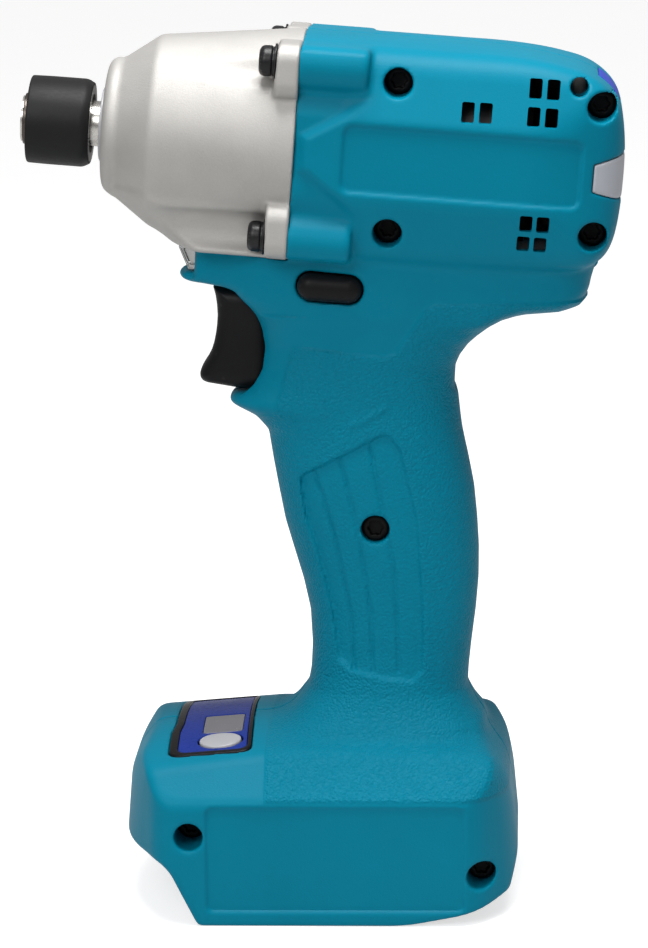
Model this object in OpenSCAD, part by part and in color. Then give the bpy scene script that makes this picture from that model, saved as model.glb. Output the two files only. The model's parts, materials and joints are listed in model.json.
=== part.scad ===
// Cordless impact driver with a display on its battery base: clamshell housing, die-cast hammer case,
// planetary drive, sprung hammer, hex bit holder, trigger switch and electronics.
// Millimetres. X runs from the nose to the rear, Y to the right-hand side, Z up.
// The origin is midway along the tool, on the surface that it stands on.

/* [Overall] */
// Head length behind the joint with the hammer case
head_len = 78.5; // [77.5:0.1:80]
// Length from that joint forward to the anvil's tip
nose_len = 67.4; // [66.8:0.1:69]
// Angle by which the head points up from the base
head_tilt = 4.8; // [4:0.1:5.6]
// Height of the head's axis at the joint
axis_h = 188; // [187:0.1:189.5]

/* [Housing] */
// Half-height of the head
head_r = 27.6; // [27.2:0.1:28.2]
// Half-width of the head
head_hw = 26.6; // [26.3:0.1:27.6]
// Wall thickness of the housing
wall = 2.4; // [2:0.1:2.6]
// Fore-and-aft depth of the grip
grip_d = 47.4; // [46.8:0.1:49]
// Half-width of the grip
grip_hw = 17.2; // [16.8:0.1:18.2]
// Length of the base
base_len = 99.6; // [98:0.2:103]
// Half-width of the base
base_hw = 36.5; // [36:0.1:38]
// Height of the base at its crown
base_h = 44.2; // [43.6:0.1:45]
// Radius of the four corner bosses at the joint
boss_r = 6.6; // [6:0.1:7]
// Distance of the corner bosses from the axis, up and across
boss_at = 21; // [20.6:0.1:21.6]
// Length of the corner bosses
boss_len = 14; // [12:0.5:15]
// Diameter of the deep holes over the housing screws
screw_hole = 7.2; // [6.8:0.1:7.6]
// Thickness of the status lens band at the rear
lens_h = 12; // [10:0.5:13]

/* [Hammer case] */
// Radius of the nose ring
ring_r = 16.7; // [16:0.1:17.4]
// Length of the hammer case in front of the joint
case_len = 47; // [46.6:0.1:47.4]
// Barrel radius where the cone ends
barrel_r0 = 22.6; // [22.3:0.1:23.2]
// Barrel radius at the flange
barrel_r1 = 26.9; // [26.4:0.1:27.2]
// Thickness of the flange
flange_t = 5.6; // [5:0.1:6.4]

/* [Drive] */
// Across flats of the bit socket
hex_af = 6.45; // [6.4:0.01:6.5]
// Depth of the bit socket
hex_depth = 24; // [22:0.5:25]
// Radius of the anvil shaft
anvil_r = 5.5; // [5.3:0.1:5.6]
// Radius of the bit sleeve
sleeve_r = 10.7; // [10.4:0.1:11.4]
// Length of the bit sleeve
sleeve_len = 15.3; // [15:0.1:15.5]
// Radius of the hammer
hammer_r = 19.4; // [18.8:0.1:19.6]
// How far the hammer draws back
hammer_travel = 8; // [6:0.5:8]
// Half angle of the hammer's turn as it draws back
cam_turn = 60; // [48:1:62]
// Module of the gear teeth
gear_m = 0.75; // [0.73:0.01:0.76]
// Teeth on the rotor's pinion
sun_teeth = 12; // [12:6:12]
// Teeth on each planet gear
planet_teeth = 18; // [18:6:18]

/* [Motor] */
// Radius of the stator
stator_r = 22.3; // [21.8:0.1:22.6]
// Room behind the rear bearing, to the end of the head
tail_len = 15; // [14.6:0.1:15.2]
// Radius of the rotor core
rotor_r = 11.6; // [11:0.1:11.8]
// Radius of the fan
fan_r = 20.4; // [19:0.1:21]

/* [Controls] */
// How far the trigger moves
trigger_travel = 6; // [4:0.5:6]
// Half-width of the trigger
trigger_hw = 7.4; // [6.8:0.1:7.6]
// How far the reversing lever moves to each side
lever_travel = 2; // [1.4:0.1:2.2]
// Length of the reversing lever's button
lever_len = 16; // [15:0.1:17]
// Height of the reversing lever's button
lever_h = 7.6; // [7:0.1:8]
// Travel of the lamp button
button_travel = 0.6; // [0.4:0.1:0.7]

/* [Display] */
// Length of the display frame, fore and aft
disp_len = 20.4; // [19.6:0.1:21]
// Half-width of the display frame
disp_hw = 25; // [24.6:0.1:25.6]
// Radius of the crown across the display
crown_r = 98; // [90:1:110]

/* [Hidden] */

// Fits: a hair between pieces that touch, a running fit, and a free gap
hair = 0.1;
run = 0.06;
free = 0.35;
// How far a cut runs past the face that it opens
over = 1;
far = 160;
half = 0.5;
fine = 96;
mid = 48;
// Facets of round shapes inside the shells
shell_n = 40;
small_n = 20;

// Colours
teal = [0.02, 0.42, 0.51];
black = [0.11, 0.11, 0.12];
alu = [0.8, 0.79, 0.77];
steel = [0.62, 0.62, 0.63];
dark_steel = [0.32, 0.32, 0.34];
bronze = [0.62, 0.44, 0.25];
green = [0.1, 0.35, 0.2];
copper = [0.72, 0.4, 0.2];
clear = [0.75, 0.78, 0.82];
blue = [0.1, 0.2, 0.55];
grey = [0.4, 0.39, 0.41];
pale = [0.68, 0.68, 0.7];

// Places
joint_x = (nose_len - head_len) * half * cos(head_tilt);
drop = axis_h - base_h;

// Head outline, front to rear: place along, top, bottom, half-width, squareness
head_shares = [
  [0, 1, -1, 0.985, 4.6],
  [0.255, 1, -0.985, 0.985, 4.6],
  [0.28, 0.99, -0.96, 1, 4.2],
  [0.64, 0.99, -0.945, 1, 4.2],
  [0.765, 0.94, -0.92, 0.985, 4.2],
  [0.875, 0.862, -0.877, 0.935, 4],
  [0.93, 0.78, -0.84, 0.87, 3.8],
  [0.968, 0.66, -0.78, 0.77, 3.6],
  [0.989, 0.525, -0.69, 0.66, 3.4],
  [1, 0.36, -0.54, 0.49, 3.2]];

// Grip and saddle outline, upward: height, front, rear, half-width, squareness
grip_shares = [
  [-0.057, -0.2, 0.79, 1.26, 3],
  [0.004, -0.22, 0.81, 1.22, 3],
  [0.0348, -0.158, 0.757, 1.06, 2.7],
  [0.0563, -0.11, 0.727, 0.98, 2.5],
  [0.0834, -0.093, 0.732, 0.94, 2.5],
  [0.128, -0.084, 0.747, 0.93, 2.5],
  [0.1905, -0.093, 0.772, 0.945, 2.5],
  [0.244, -0.127, 0.787, 0.965, 2.5],
  [0.2976, -0.173, 0.789, 0.99, 2.5],
  [0.35, -0.217, 0.781, 1, 2.5],
  [0.4033, -0.247, 0.766, 1, 2.5],
  [0.456, -0.274, 0.736, 0.99, 2.5],
  [0.508, -0.297, 0.703, 0.97, 2.5],
  [0.534, -0.37, 0.69, 0.955, 2.5],
  [0.556, -0.5, 0.68, 0.945, 2.6],
  [0.567, -0.49, 0.676, 0.945, 2.6],
  [0.59, -0.4, 0.673, 0.95, 2.6],
  [0.6175, -0.35, 0.681, 0.96, 2.6],
  [0.6565, -0.327, 0.764, 0.99, 2.8],
  [0.689, -0.333, 0.918, 1.03, 3.2],
  [0.7045, -0.344, 1.2, 1.06, 3.8],
  [0.715, -0.36, 1.325, 1.08, 4.2],
  [0.7406, -0.42, 1.354, 1.11, 4.5],
  [0.7497, -0.576, 1.359, 1.12, 4.5],
  [0.7705, -0.72, 1.371, 1.14, 4.5],
  [0.7914, -0.665, 1.39, 1.16, 4.5],
  [0.8227, -0.665, 1.39, 1.17, 4.5],
  [0.889, -0.42, 1.2, 1.05, 4]];
// How far the hollow of the grip may reach forward and back
grip_hollow_shares = [-0.3, 0.8];

// Base outline, upward: height, front, rear, half-width, squareness
base_shares = [
  [0, -0.5, 0.474, 0.985, 4.8],
  [0.2036, -0.504, 0.475, 0.995, 4.8],
  [0.294, -0.506, 0.471, 1, 4.8],
  [0.5656, -0.498, 0.461, 0.995, 4.6],
  [0.701, -0.486, 0.452, 0.97, 4.4],
  [0.792, -0.47, 0.441, 0.915, 4.2],
  [0.871, -0.446, 0.42, 0.83, 4],
  [0.9276, -0.421, 0.392, 0.72, 4],
  [0.962, -0.385, 0.353, 0.55, 3.8],
  [0.985, -0.28, 0.302, 0.36, 3.6],
  [1, -0.12, 0.24, 0.164, 3]];

ring_n = 28;

function sq_pt(i, e) =
  let (a = 360 * (i + half) / ring_n, c = cos(a), s = sin(a))
  [sign(c) * pow(abs(c), 2 / e), sign(s) * pow(abs(s), 2 / e)];

function head_ring(st, inset, u) =
  let (top = st[1] * head_r - inset, bot = st[2] * head_r + inset, hw = st[3] * head_hw - inset)
  [for (i = [0 : ring_n - 1]) let (p = sq_pt(i, st[4]))
    [u, hw * p[0], (top + bot) * half + (top - bot) * half * p[1]]];

function plan_ring(x0, x1, hw, e, z) =
  [for (i = [0 : ring_n - 1]) let (p = sq_pt(i, e))
    [(x0 + x1) * half + (x1 - x0) * half * p[0], hw * p[1], z]];

module loft(rings) {
  n = len(rings[0]);
  m = len(rings);
  polyhedron(
    points = [for (r = rings) each r],
    faces = concat(
      [[for (i = [0 : n - 1]) i]],
      [for (k = [0 : m - 2], i = [0 : n - 1]) let (j = (i + 1) % n)
        [k * n + i, (k + 1) * n + i, (k + 1) * n + j]],
      [for (k = [0 : m - 2], i = [0 : n - 1]) let (j = (i + 1) % n)
        [k * n + i, (k + 1) * n + j, k * n + j]],
      [[for (i = [n - 1 : -1 : 0]) (m - 1) * n + i]]),
    convexity = 6);
}

// Puts children in the head's frame: X along the axis to the rear, from the joint
module head() {
  translate([joint_x, 0, axis_h]) rotate([0, head_tilt, 0]) children();
}

// A turned body about the head's axis, from points of radius and place
module turned(pts, n = fine) {
  rotate([0, 90, 0]) rotate_extrude($fn = n) polygon(pts);
}

module rod(r, u0, u1, n = fine) {
  translate([u0, 0, 0]) rotate([0, 90, 0]) cylinder(r = r, h = u1 - u0, $fn = n);
}

module tube(r1, r0, u0, u1, n = fine) {
  turned([[r0, u0], [r1, u0], [r1, u1], [r0, u1]], n);
}

module cross_rod(r, x, z, y0, y1, n = mid) {
  translate([x, y0, z]) rotate([-90, 0, 0]) cylinder(r = r, h = y1 - y0, $fn = n);
}

module block(x0, x1, hw, z0, z1) {
  translate([x0, -hw, z0]) cube([x1 - x0, hw + hw, z1 - z0]);
}

// A coil along X: mean radius, wire radius, start, end, turns
coil_sides = 8;
coil_steps = 16;
module coil(mean, wire, u0, u1, turns) {
  n = coil_steps * turns;
  loft([for (k = [n : -1 : 0]) let (a = 360 * k / coil_steps, u = u0 + wire + (u1 - u0 - wire - wire) * k / n)
    [for (i = [0 : coil_sides - 1]) let (b = 360 * i / coil_sides, rr = mean + wire * cos(b))
      [u + wire * sin(b), rr * cos(a), rr * sin(a)]]]);
}

// Housing shells

inner_head_len = head_len - wall;

module head_outer() {
  loft([for (st = head_shares) head_ring(st, 0, st[0] > 0 ? st[0] * head_len : -over)]);
}

module head_inner() {
  loft([for (st = head_shares) head_ring(st, wall, st[0] > 0 ? st[0] * inner_head_len : -over * 2)]);
}

module grip_outer() {
  loft([for (st = grip_shares)
    plan_ring(st[1] * grip_d, st[2] * grip_d, st[3] * grip_hw, st[4], base_h + st[0] * drop)]);
}

module grip_inner() {
  loft([for (st = grip_shares)
    plan_ring(max(st[1] * grip_d + wall, grip_hollow_shares[0] * grip_d),
      min(st[2] * grip_d - wall, grip_hollow_shares[1] * grip_d),
      st[3] * grip_hw - wall, st[4], base_h + st[0] * drop)]);
}

module base_outer() {
  loft([for (st = base_shares)
    plan_ring(st[1] * base_len, st[2] * base_len, st[3] * base_hw, st[4], st[0] * base_h)]);
}

module base_inner() {
  loft([for (st = base_shares)
    plan_ring(st[1] * base_len + wall, st[2] * base_len - wall, st[3] * base_hw - wall, st[4],
      st[0] * (base_h - wall + over) - over)]);
}

module bosses() {
  for (sy = [-1, 1], sz = [-1, 1]) hull() {
    translate([0, sy * boss_at, sz * boss_at]) rod(boss_r, -over, boss_len, small_n);
    translate([boss_len, sy * boss_at, sz * boss_at]) sphere(r = boss_r, $fn = small_n);
  }
}

module housing_outer() {
  head() head_outer();
  head() bosses();
  grip_outer();
  base_outer();
}

// Gear train sizes and places
ring_teeth = sun_teeth + planet_teeth + planet_teeth;
press = 25;
orbit = gear_m * (sun_teeth + planet_teeth) * half;
ring_wall = 3.2;
ring_out = gear_m * ring_teeth * half + ring_wall;
carrier_r = 16;
carrier_gap = 0.8;
ring_lip = 0.3;
end_gap = 0.2;
disc_t = 2.5;
disc_u = 1.5;
gear_w = 5;
gear_gap = 0.5;
gear_u = disc_u + disc_t + gear_gap;
disc2_u = gear_u + gear_w + gear_gap;
stub_r = 7;
bearing_w = 5;
stub_u = disc2_u + disc_t;
spindle_brg_r = 11;
pinion_hole = 5.9;
pin_r = 2.5;
cup_r = 23.3;
cup_u = 13;
gear_boss_r = 13.4;
boss_floor = 1.2;
gear_boss_u = stub_u + bearing_w + boss_floor;
rotor_brg_r = 6.5;
rotor_brg_w = 4;
boss_step = 0.4;
rotor_brg_u = gear_boss_u + boss_step;
nose_boss_r = 8.8;
brg_cover = 0.6;
nose_boss_u = rotor_brg_u + rotor_brg_w + brg_cover;
shaft_r = 2.5;
pinion_u0 = gear_u - ring_lip;
pinion_u1 = gear_u + gear_w + boss_step;

// Motor places
rear_brg_u = head_len - tail_len;
rear_brg_w = 4;
fan_w = 7;
fan_gap = 1.9;
fan_u = rear_brg_u - fan_gap - fan_w;
fan_room = 4.6;
coil_room = 6.3;
coil_out = 1.3;
coil_gap = 0.25;
coil_top = 0.6;
stator_end = fan_u - fan_room;
stator_u = nose_boss_u + coil_room;
stator_len = stator_end - stator_u;
bore_gap = 0.5;
stator_bore = rotor_r + bore_gap;
yoke_t = 3.4;
tooth_w = 6;
shoe_t = 1.8;
teeth_n = 6;
fan_t = 1.2;
blade_t = 1.4;
blades = 11;
fan_hub_r = 7;
cushion_r = 8;
cushion_t = 0.9;
cushion_end = rear_brg_u + rear_brg_w + cushion_t;
board_t = 1.2;

// Screws of the housing: place along and up in the head, then in the grip and base
head_screw_shares = [[0.298, 0.688], [0.298, -0.602], [0.912, 0.616], [0.916, -0.5]];
grip_screw_shares = [0.262, 0.35];
base_screw_shares = [[-0.332, 0.509], [0.3805, 0.276]];
screw_r = 1.9;
screw_head_r = 3.3;
screw_head_h = 2.6;
boss_wall = 1.5;
screw_boss_r = screw_hole * half + boss_wall;
screw_sink_shares = [0.42, 0.34, 0.45];
screw_tip_share = 0.45;

grip_screw = [grip_screw_shares[0] * grip_d, base_h + grip_screw_shares[1] * drop];
base_screws = [for (p = base_screw_shares) [p[0] * base_len, p[1] * base_h]];

// Calls its children at each housing screw, with the half-width of the shell there as $hw
module at_screws() {
  for (p = head_screw_shares) head() translate([p[0] * head_len, 0, p[1] * head_r]) {
    $hw = head_hw;
    $sink = screw_sink_shares[0] * head_hw;
    children();
  }
  translate([grip_screw[0], 0, grip_screw[1]]) {
    $hw = grip_hw;
    $sink = screw_sink_shares[1] * grip_hw;
    children();
  }
  for (p = base_screws) translate([p[0], 0, p[1]]) {
    $hw = base_hw;
    $sink = screw_sink_shares[2] * base_hw;
    children();
  }
}

module screw_bosses() {
  at_screws() cross_rod(screw_boss_r, 0, 0, -$hw - over, $hw + over, small_n);
}

module screw_holes() {
  at_screws() {
    cross_rod(screw_hole * half, 0, 0, -far, -$sink, small_n);
    cross_rod(screw_r + hair, 0, 0, -$sink - over, screw_tip_share * $hw, small_n);
  }
}

module housing_screws() {
  color(black) at_screws() difference() {
    union() {
      cross_rod(screw_head_r, 0, 0, -$sink - screw_head_h, -$sink);
      cross_rod(screw_r, 0, 0, -$sink - hair, screw_tip_share * $hw - half);
    }
    cross_slot();
  }
}

slot_w = 0.9;
slot_l = 3.6;
slot_d = 1.3;
module cross_slot() {
  for (a = [0, 90]) rotate([0, a, 0])
    translate([-slot_l * half, -$sink - screw_head_h - over, -slot_w * half])
      cube([slot_l, slot_d + over, slot_w]);
}

// Vents on each side of the head: place along, up, as shares of the head's size
vent_shares = [[0.522, 0.482], [0.567, 0.482], [0.718, 0.703], [0.7605, 0.703], [0.718, 0.4855],
  [0.7605, 0.4855], [0.716, -0.424], [0.767, -0.424], [0.713, -0.594], [0.762, -0.594]];
vent_l = 2.7;
vent_h = 4.2;
module vents() {
  head() for (p = vent_shares)
    translate([p[0] * head_len - vent_l * half, -head_hw - over, p[1] * head_r - vent_h * half])
      cube([vent_l, head_hw * 2 + over * 2, vent_h]);
}

// The shallow bare panel on each side of the head
panel_shares = [0.155, 0.86, 0.275];
panel_d = 0.6;
module head_panels() {
  head() for (s = [-1, 1])
    translate([panel_shares[0] * head_len, s * (head_hw + far * half - panel_d) - far * half,
      -panel_shares[2] * head_r])
      cube([(panel_shares[1] - panel_shares[0]) * head_len, far, panel_shares[2] * 2 * head_r]);
}

// The label panel on each side of the base
label_shares = [-0.288, 0.337, 0.04, 0.66];
label_d = 0.5;
module label_panels() {
  for (s = [-1, 1])
    translate([label_shares[0] * base_len, s * (base_hw + far * half - label_d) - far * half,
      label_shares[2] * base_h])
      cube([(label_shares[1] - label_shares[0]) * base_len, far,
        (label_shares[3] - label_shares[2]) * base_h]);
}

// Underside of the base seen from the side: the notch in front and the lift at the rear
notch_shares = [[-0.6, -0.1], [-0.313, -0.1], [-0.318, 0.02], [-0.372, 0.27], [-0.388, 0.335], [-0.41, 0.369],
  [-0.6, 0.36]];
heel_shares = [[0.243, -0.1], [0.243, 0], [0.32, 0.023], [0.39, 0.06], [0.444, 0.11], [0.6, 0.13],
  [0.6, -0.1]];
module base_cuts() {
  for (shares = [notch_shares, heel_shares]) translate([0, far * half, 0]) rotate([90, 0, 0])
    linear_extrude(height = far) polygon([for (p = shares) [p[0] * base_len, p[1] * base_h]]);
}

// Trigger: outline seen from the side, front first, in shares of its depth and height
trigger_place_shares = [-0.274, 0.576];
trigger_z = base_h + trigger_place_shares[1] * drop;
trigger_h = 24;
trigger_x = trigger_place_shares[0] * grip_d;
trigger_d = 17.6;
trigger_shares = [[0, 0.03], [0, 0.98], [-0.82, 0.985], [-0.77, 0.78], [-0.8, 0.53], [-0.87, 0.37],
  [-0.99, 0.22], [-1, 0.12], [-0.94, 0.03], [-0.8, 0], [-0.5, 0]];
stem_r = 3;
stem_len = 17;
spring_pocket = 4;
spring_pocket_r = 5.2;
trigger_coil_r = 4.3;
trigger_wire = 0.45;
trigger_turns = 4;
switch_x = trigger_x + trigger_travel + half;
switch_len = 30;
switch_hw = 10.5;
switch_drop = 0.4;
switch_z0 = trigger_z - switch_drop;
switch_h = 22;
switch_x1 = switch_x + switch_len;

module trigger_opening() {
  block(-far * half, switch_x, trigger_hw + free, trigger_z - free, trigger_z + trigger_h + free);
}

// Reversing lever across the saddle
lever_x = 2.6;
lever_place_shares = [0.776, 1.15];
lever_z = base_h + lever_place_shares[0] * drop;
lever_proud = 1.7;
lever_hw = grip_hw * lever_place_shares[1] + lever_proud;
module lever_shape(grow, hw, n = mid) {
  r = lever_h * half + grow;
  span = (lever_len - lever_h) * half;
  translate([lever_x, 0, lever_z]) rotate([0, head_tilt, 0]) {
    for (s = [-1, 1]) cross_rod(r, s * span, 0, -hw, hw, n);
    block(-span, span, hw, -r, r);
  }
}

// Work lamp under the nose
lamp_h = 5.9;
lamp_hw = 7;
lamp_place_share = -0.65;
lamp_x = lamp_place_share * grip_d;
lamp_clear = 0.1;
case_clear = 0.4;
lamp_top = axis_h + (joint_x - lamp_x) * tan(head_tilt) - head_r / cos(head_tilt) - lamp_clear;
lamp_z0 = lamp_top - lamp_h;
lamp_shares = [[0, 0], [-0.45, -0.02], [-0.8, 1], [0, 1]];
lamp_board_x = 1.9;
lamp_gap = 0.3;
module lamp_prism(grow) {
  translate([lamp_x + grow, lamp_hw + grow, lamp_z0]) rotate([90, 0, 0])
    linear_extrude(height = (lamp_hw + grow) * 2)
      polygon([for (p = lamp_shares) [p[0] * lamp_h, p[1] * lamp_h]]);
}

// Display on the base
disp_place_share = -0.3;
disp_x = disp_place_share * base_len;
disp_fall = 0.9;
disp_z = base_h - disp_fall;
disp_tilt = 4.7;
disp_shares = [[-0.5, -1], [0.5, -1], [0.5, 1], [-0.26, 1], [-0.5, 0.08]];
frame_top = 0.5;
frame_deep = 2.8;
frame_in = 1.6;
panel_t = 1.3;
panel_sink = 0.3;
window_l = 10;
window_w = 16;
window_y = -0.6;
window_t = 0.9;
button_l = 10.4;
button_w = 8.6;
button_y = -15.6;
button_t = 1.6;
button_turn = asin(button_y / crown_r);
disp_room = 9;
crown_drop = disp_hw * disp_hw * half / crown_r;
window_x = 2.6;
module display() {
  translate([disp_x, 0, disp_z]) rotate([0, -disp_tilt, 0]) children();
}
module disp_outline(inset) {
  l = disp_len - inset * 2;
  w = disp_hw - inset;
  polygon([for (p = disp_shares) [p[0] * l, p[1] * w]]);
}
module disp_slab(inset, r0, r1) {
  intersection() {
    translate([0, 0, -far * half]) linear_extrude(height = far) disp_outline(inset);
    translate([-far * half, 0, -crown_r]) difference() {
      rod(crown_r + r1, 0, far, 180);
      rod(crown_r + r0, -over, far + over, 180);
      translate([-over, -far, -far * 2]) cube([far + over * 2, far * 2, far * 2]);
    }
  }
}
module button_prism(grow, z0, z1) {
  translate([window_x * half, 0, -crown_r]) rotate([-button_turn, 0, 0]) translate([0, 0, crown_r])
    translate([0, 0, z0]) scale([(button_l + grow * 2) / button_w, (button_w + grow * 2) / button_w, 1])
      cylinder(d = button_w, h = z1 - z0, $fn = mid);
}

// Hanger tube, rear cap and status lens
hanger_shares = [0.84, 0.775];
hanger_r = 2.9;
hanger_bore = 2.15;
hanger_hw = 18.6;
cap_shares = [0.9, 0.972];
cap_hw = 9;
cap_t = 1.4;
module cap_zone(grow) {
  difference() {
    block(cap_shares[0] * head_len - grow, cap_shares[1] * head_len + grow, cap_hw + grow, 0, head_r + over);
    loft([for (st = head_shares) head_ring(st, cap_t + grow, st[0] * head_len)]);
  }
}
lens_place_share = 0.9;
lens_u = lens_place_share * head_len;
lens_w = 1.4;
lens_front_share = 0.27;
module lens_prism(grow) {
  head() translate([0, far * half, 0]) rotate([90, 0, 0]) linear_extrude(height = far)
    polygon([[lens_u - grow, lens_w - lens_h * lens_front_share - grow],
      [head_len + over, lens_w - lens_h * half - grow],
      [head_len + over, lens_w + lens_h * half + grow],
      [lens_u - grow, lens_w + lens_h * lens_front_share + grow]]);
}

// Base inside: tray, mount, shelves
tray_shares = [-0.261, 0.3012, 0.7123];
tray_x0 = tray_shares[0] * base_len;
tray_x1 = tray_shares[1] * base_len;
tray_hw = tray_shares[2] * base_hw;
tray_z = 19;
tray_h = 9;
tray_wall = 1.4;
shelf_in = 2.5;
shelf_hw = tray_hw - shelf_in;
mount_shares = [-0.3012, 0.3213];
mount_x0 = mount_shares[0] * base_len;
mount_x1 = mount_shares[1] * base_len;
mount_z = 12;
mount_t = 2.5;
mount_gap = 2.3;
mount_hw = base_hw - wall - mount_gap;
shelf_gap = 0.15;
shelf_z = mount_z + mount_t + shelf_gap;
rail_in = 3.3;
rail_hw = mount_hw - rail_in;
rail_t = 3;
rail_lip = 4;
rail_z0 = 3;
rail_lip_t = 2.5;
term_shares = [0.0602, 0.3012];
term_x0 = term_shares[0] * base_len;
term_x1 = term_shares[1] * base_len;
term_hw = 15;
term_z = 7;
floor_z0 = 13;
front_floor_z = 16.8;
floor_t = 2.2;

// Ribs that the hollow leaves standing
rib = 3;
stator_ribs = [stator_u + rib * half, stator_end - rib - rib * half];
gear_rib = 8;
switch_rib_zs = [switch_z0 + rib, switch_z0 + switch_h - rib * 2];
rib_hw = 40;
module ribs() {
  head() {
    for (u = stator_ribs) block(u, u + rib, rib_hw, -rib_hw, rib_hw);
    block(gear_rib, gear_rib + rib, rib_hw, -rib_hw, rib_hw);
    block(rear_brg_u - hair, cushion_end, rib_hw, -rib_hw, rib_hw);
  }
  for (z = switch_rib_zs) block(switch_x, grip_d, rib_hw, z, z + rib);
  for (s = [-1, 1]) translate([tray_x0, s > 0 ? shelf_hw : -shelf_hw - rib_hw, shelf_z])
    cube([tray_x1 - tray_x0, rib_hw, tray_z - shelf_z]);
  block(-base_len, mount_x0 - hair, rib_hw, front_floor_z, front_floor_z + floor_t);
  block(mount_x1 + hair, base_len, rib_hw, floor_z0, floor_z0 + floor_t);
  screw_bosses();
}

// Room for what the ribs hold
module seats() {
  head() {
    rod(stator_r + hair, stator_u - over, stator_end + over, shell_n);
    rod(cup_r + hair, -over, cup_u + over, shell_n);
    rod(cushion_r + hair, fan_u, cushion_end + hair, shell_n);
    translate([hanger_shares[0] * head_len, 0, hanger_shares[1] * head_r])
      cross_rod(hanger_r + hair, 0, 0, -far, far, small_n);
    block(-far, 0, far, -head_r - case_clear, far);
    case_screw_rods(case_screw_r + hair, -over, case_screw_len, small_n);
  }
  block(switch_x - hair, switch_x1 + hair, switch_hw + hair, switch_z0 - hair, switch_z0 + switch_h + hair);
  trigger_opening();
  lever_shape(free, far, small_n);
  lamp_prism(hair);
  block(lamp_x - over, lamp_x + lamp_board_x + hair, lamp_hw - over, lamp_z0, lamp_z0 + lamp_h - hair);
  display() translate([0, 0, -frame_deep - crown_drop - hair]) linear_extrude(height = far)
    disp_outline(-hair);
  display() translate([0, 0, -disp_room]) linear_extrude(height = disp_room) disp_outline(frame_in);
  head() cap_zone(hair);
  lens_prism(hair);
  wire_paths(wire_r + free);
}

case_screw_r = 1.8;
case_screw_len = 14;
module case_screw_rods(r, u0, u1, n = mid) {
  for (sy = [-1, 1], sz = [-1, 1]) translate([0, sy * boss_at, sz * boss_at]) rod(r, u0, u1, n);
}

split = 0.03;
module housing_half(side) {
  difference() {
    housing_outer();
    difference() {
      union() {
        head() head_inner();
        grip_inner();
        base_inner();
      }
      ribs();
      head() bosses();
    }
    seats();
    screw_holes();
    vents();
    head_panels();
    label_panels();
    base_cuts();
    translate([-far, side > 0 ? -far * 2 + split : -split, -far]) cube([far * 2, far * 2, far * 4]);
  }
}

module housing_left() {
  color(teal) housing_half(-1);
}

module housing_right() {
  color(teal) housing_half(1);
}

// Hammer case
ring_len = 3.9;
cone_u = ring_len - case_len;
cone_deg = 36;
nose_round = 3.4;
nose_steps = 6;
cone_end = cone_u + (barrel_r0 - ring_r) / tan(cone_deg);
barrel_slope = (barrel_r1 - barrel_r0) / -cone_end;
cavity_gap = 0.7;
cavity_r = hammer_r + cavity_gap;
cavity_u = -34.6;
cavity_front_r = 18.4;
cavity_cone = 2.4;
bush_r = 8;
nose_lip = 0.3;
seal_t = 1.3;
seal_u0 = nose_lip - case_len;
bush_u0 = seal_u0 + seal_t;
bush_u1 = cavity_u;
mouth_r = 6.6;
seal_w = 1.4;
screw_gap = 0.3;
pad_hw = 14.6;
pad_r = 6;
pad_z = head_r - hair;
scoop_r = 5.3;
lug_len = 10.4;
module flange_shape() {
  for (sy = [-1, 1], sz = [-1, 1]) scale([sy, sz]) translate([boss_at - lug_len, boss_at - lug_len]) {
    translate([lug_len, lug_len]) circle(r = boss_r, $fn = mid);
    square([lug_len + boss_r, lug_len]);
    square([lug_len, lug_len + boss_r]);
  }
}

module case_outer() {
  turned(concat(
    [[0, -case_len]],
    [for (k = [0 : nose_steps]) let (a = 90 * k / nose_steps)
      [ring_r - nose_round + nose_round * sin(a), -case_len + nose_round - nose_round * cos(a)]],
    [[ring_r, cone_u], [barrel_r0, cone_end], 
      [barrel_r1 + over * barrel_slope, over], [0, over]]));
  rotate([90, 0, 90]) translate([0, 0, -flange_t]) linear_extrude(height = flange_t + over) flange_shape();
  intersection() {
    turned([[0, cone_u], [ring_r - free, cone_u], [ring_r - free + far * tan(cone_deg), cone_u + far],
      [0, cone_u + far]]);
    rotate([90, 0, 90]) translate([0, 0, -case_len]) linear_extrude(height = case_len + over) {
      for (s = [-1, 1]) translate([s * pad_hw, pad_r - pad_z]) circle(r = pad_r, $fn = mid);
      translate([-pad_hw, -pad_z]) square([pad_hw * 2, pad_r * 2]);
      translate([-pad_hw - pad_r, pad_r - pad_z]) square([(pad_hw + pad_r) * 2, pad_r * 2]);
    }
  }
}

module hammer_case() {
  color(alu) head() difference() {
    case_outer();
    block(0, over * 2, far, -far, far);
    turned([[0, cavity_u], [cavity_front_r, cavity_u], [cavity_r, cavity_u + cavity_cone], [cavity_r, over],
      [0, over]]);
    rod(bush_r, bush_u0, bush_u1 + over);
    rod(mouth_r + seal_w, seal_u0, bush_u0 + over);
    rod(mouth_r, -case_len - over, seal_u0 + over);
    case_screw_rods(case_screw_r + screw_gap, -flange_t - over, over);
    case_screw_rods(scoop_r, -case_len, -flange_t);
  }
}

case_head_r = 3.7;
case_head_h = 3.2;
washer_t = 1;
washer_r = 4.3;
key_af = 3;
key_d = 1.8;
module case_screws() {
  color(black) head() difference() {
    union() {
      case_screw_rods(case_screw_r, -flange_t - washer_t - hair, case_screw_len - half);
      case_screw_rods(case_head_r, -flange_t - washer_t - case_head_h, -flange_t - washer_t);
    }
    for (sy = [-1, 1], sz = [-1, 1])
      translate([-flange_t - washer_t - case_head_h - over, sy * boss_at, sz * boss_at])
        rotate([0, 90, 0]) cylinder(r = key_af / sqrt(3), h = key_d + over, $fn = 6);
  }
}

module case_washers() {
  color(black) head() for (sy = [-1, 1], sz = [-1, 1]) translate([0, sy * boss_at, sz * boss_at])
    tube(washer_r, case_screw_r + hair, -flange_t - washer_t, -flange_t, mid);
}

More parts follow.
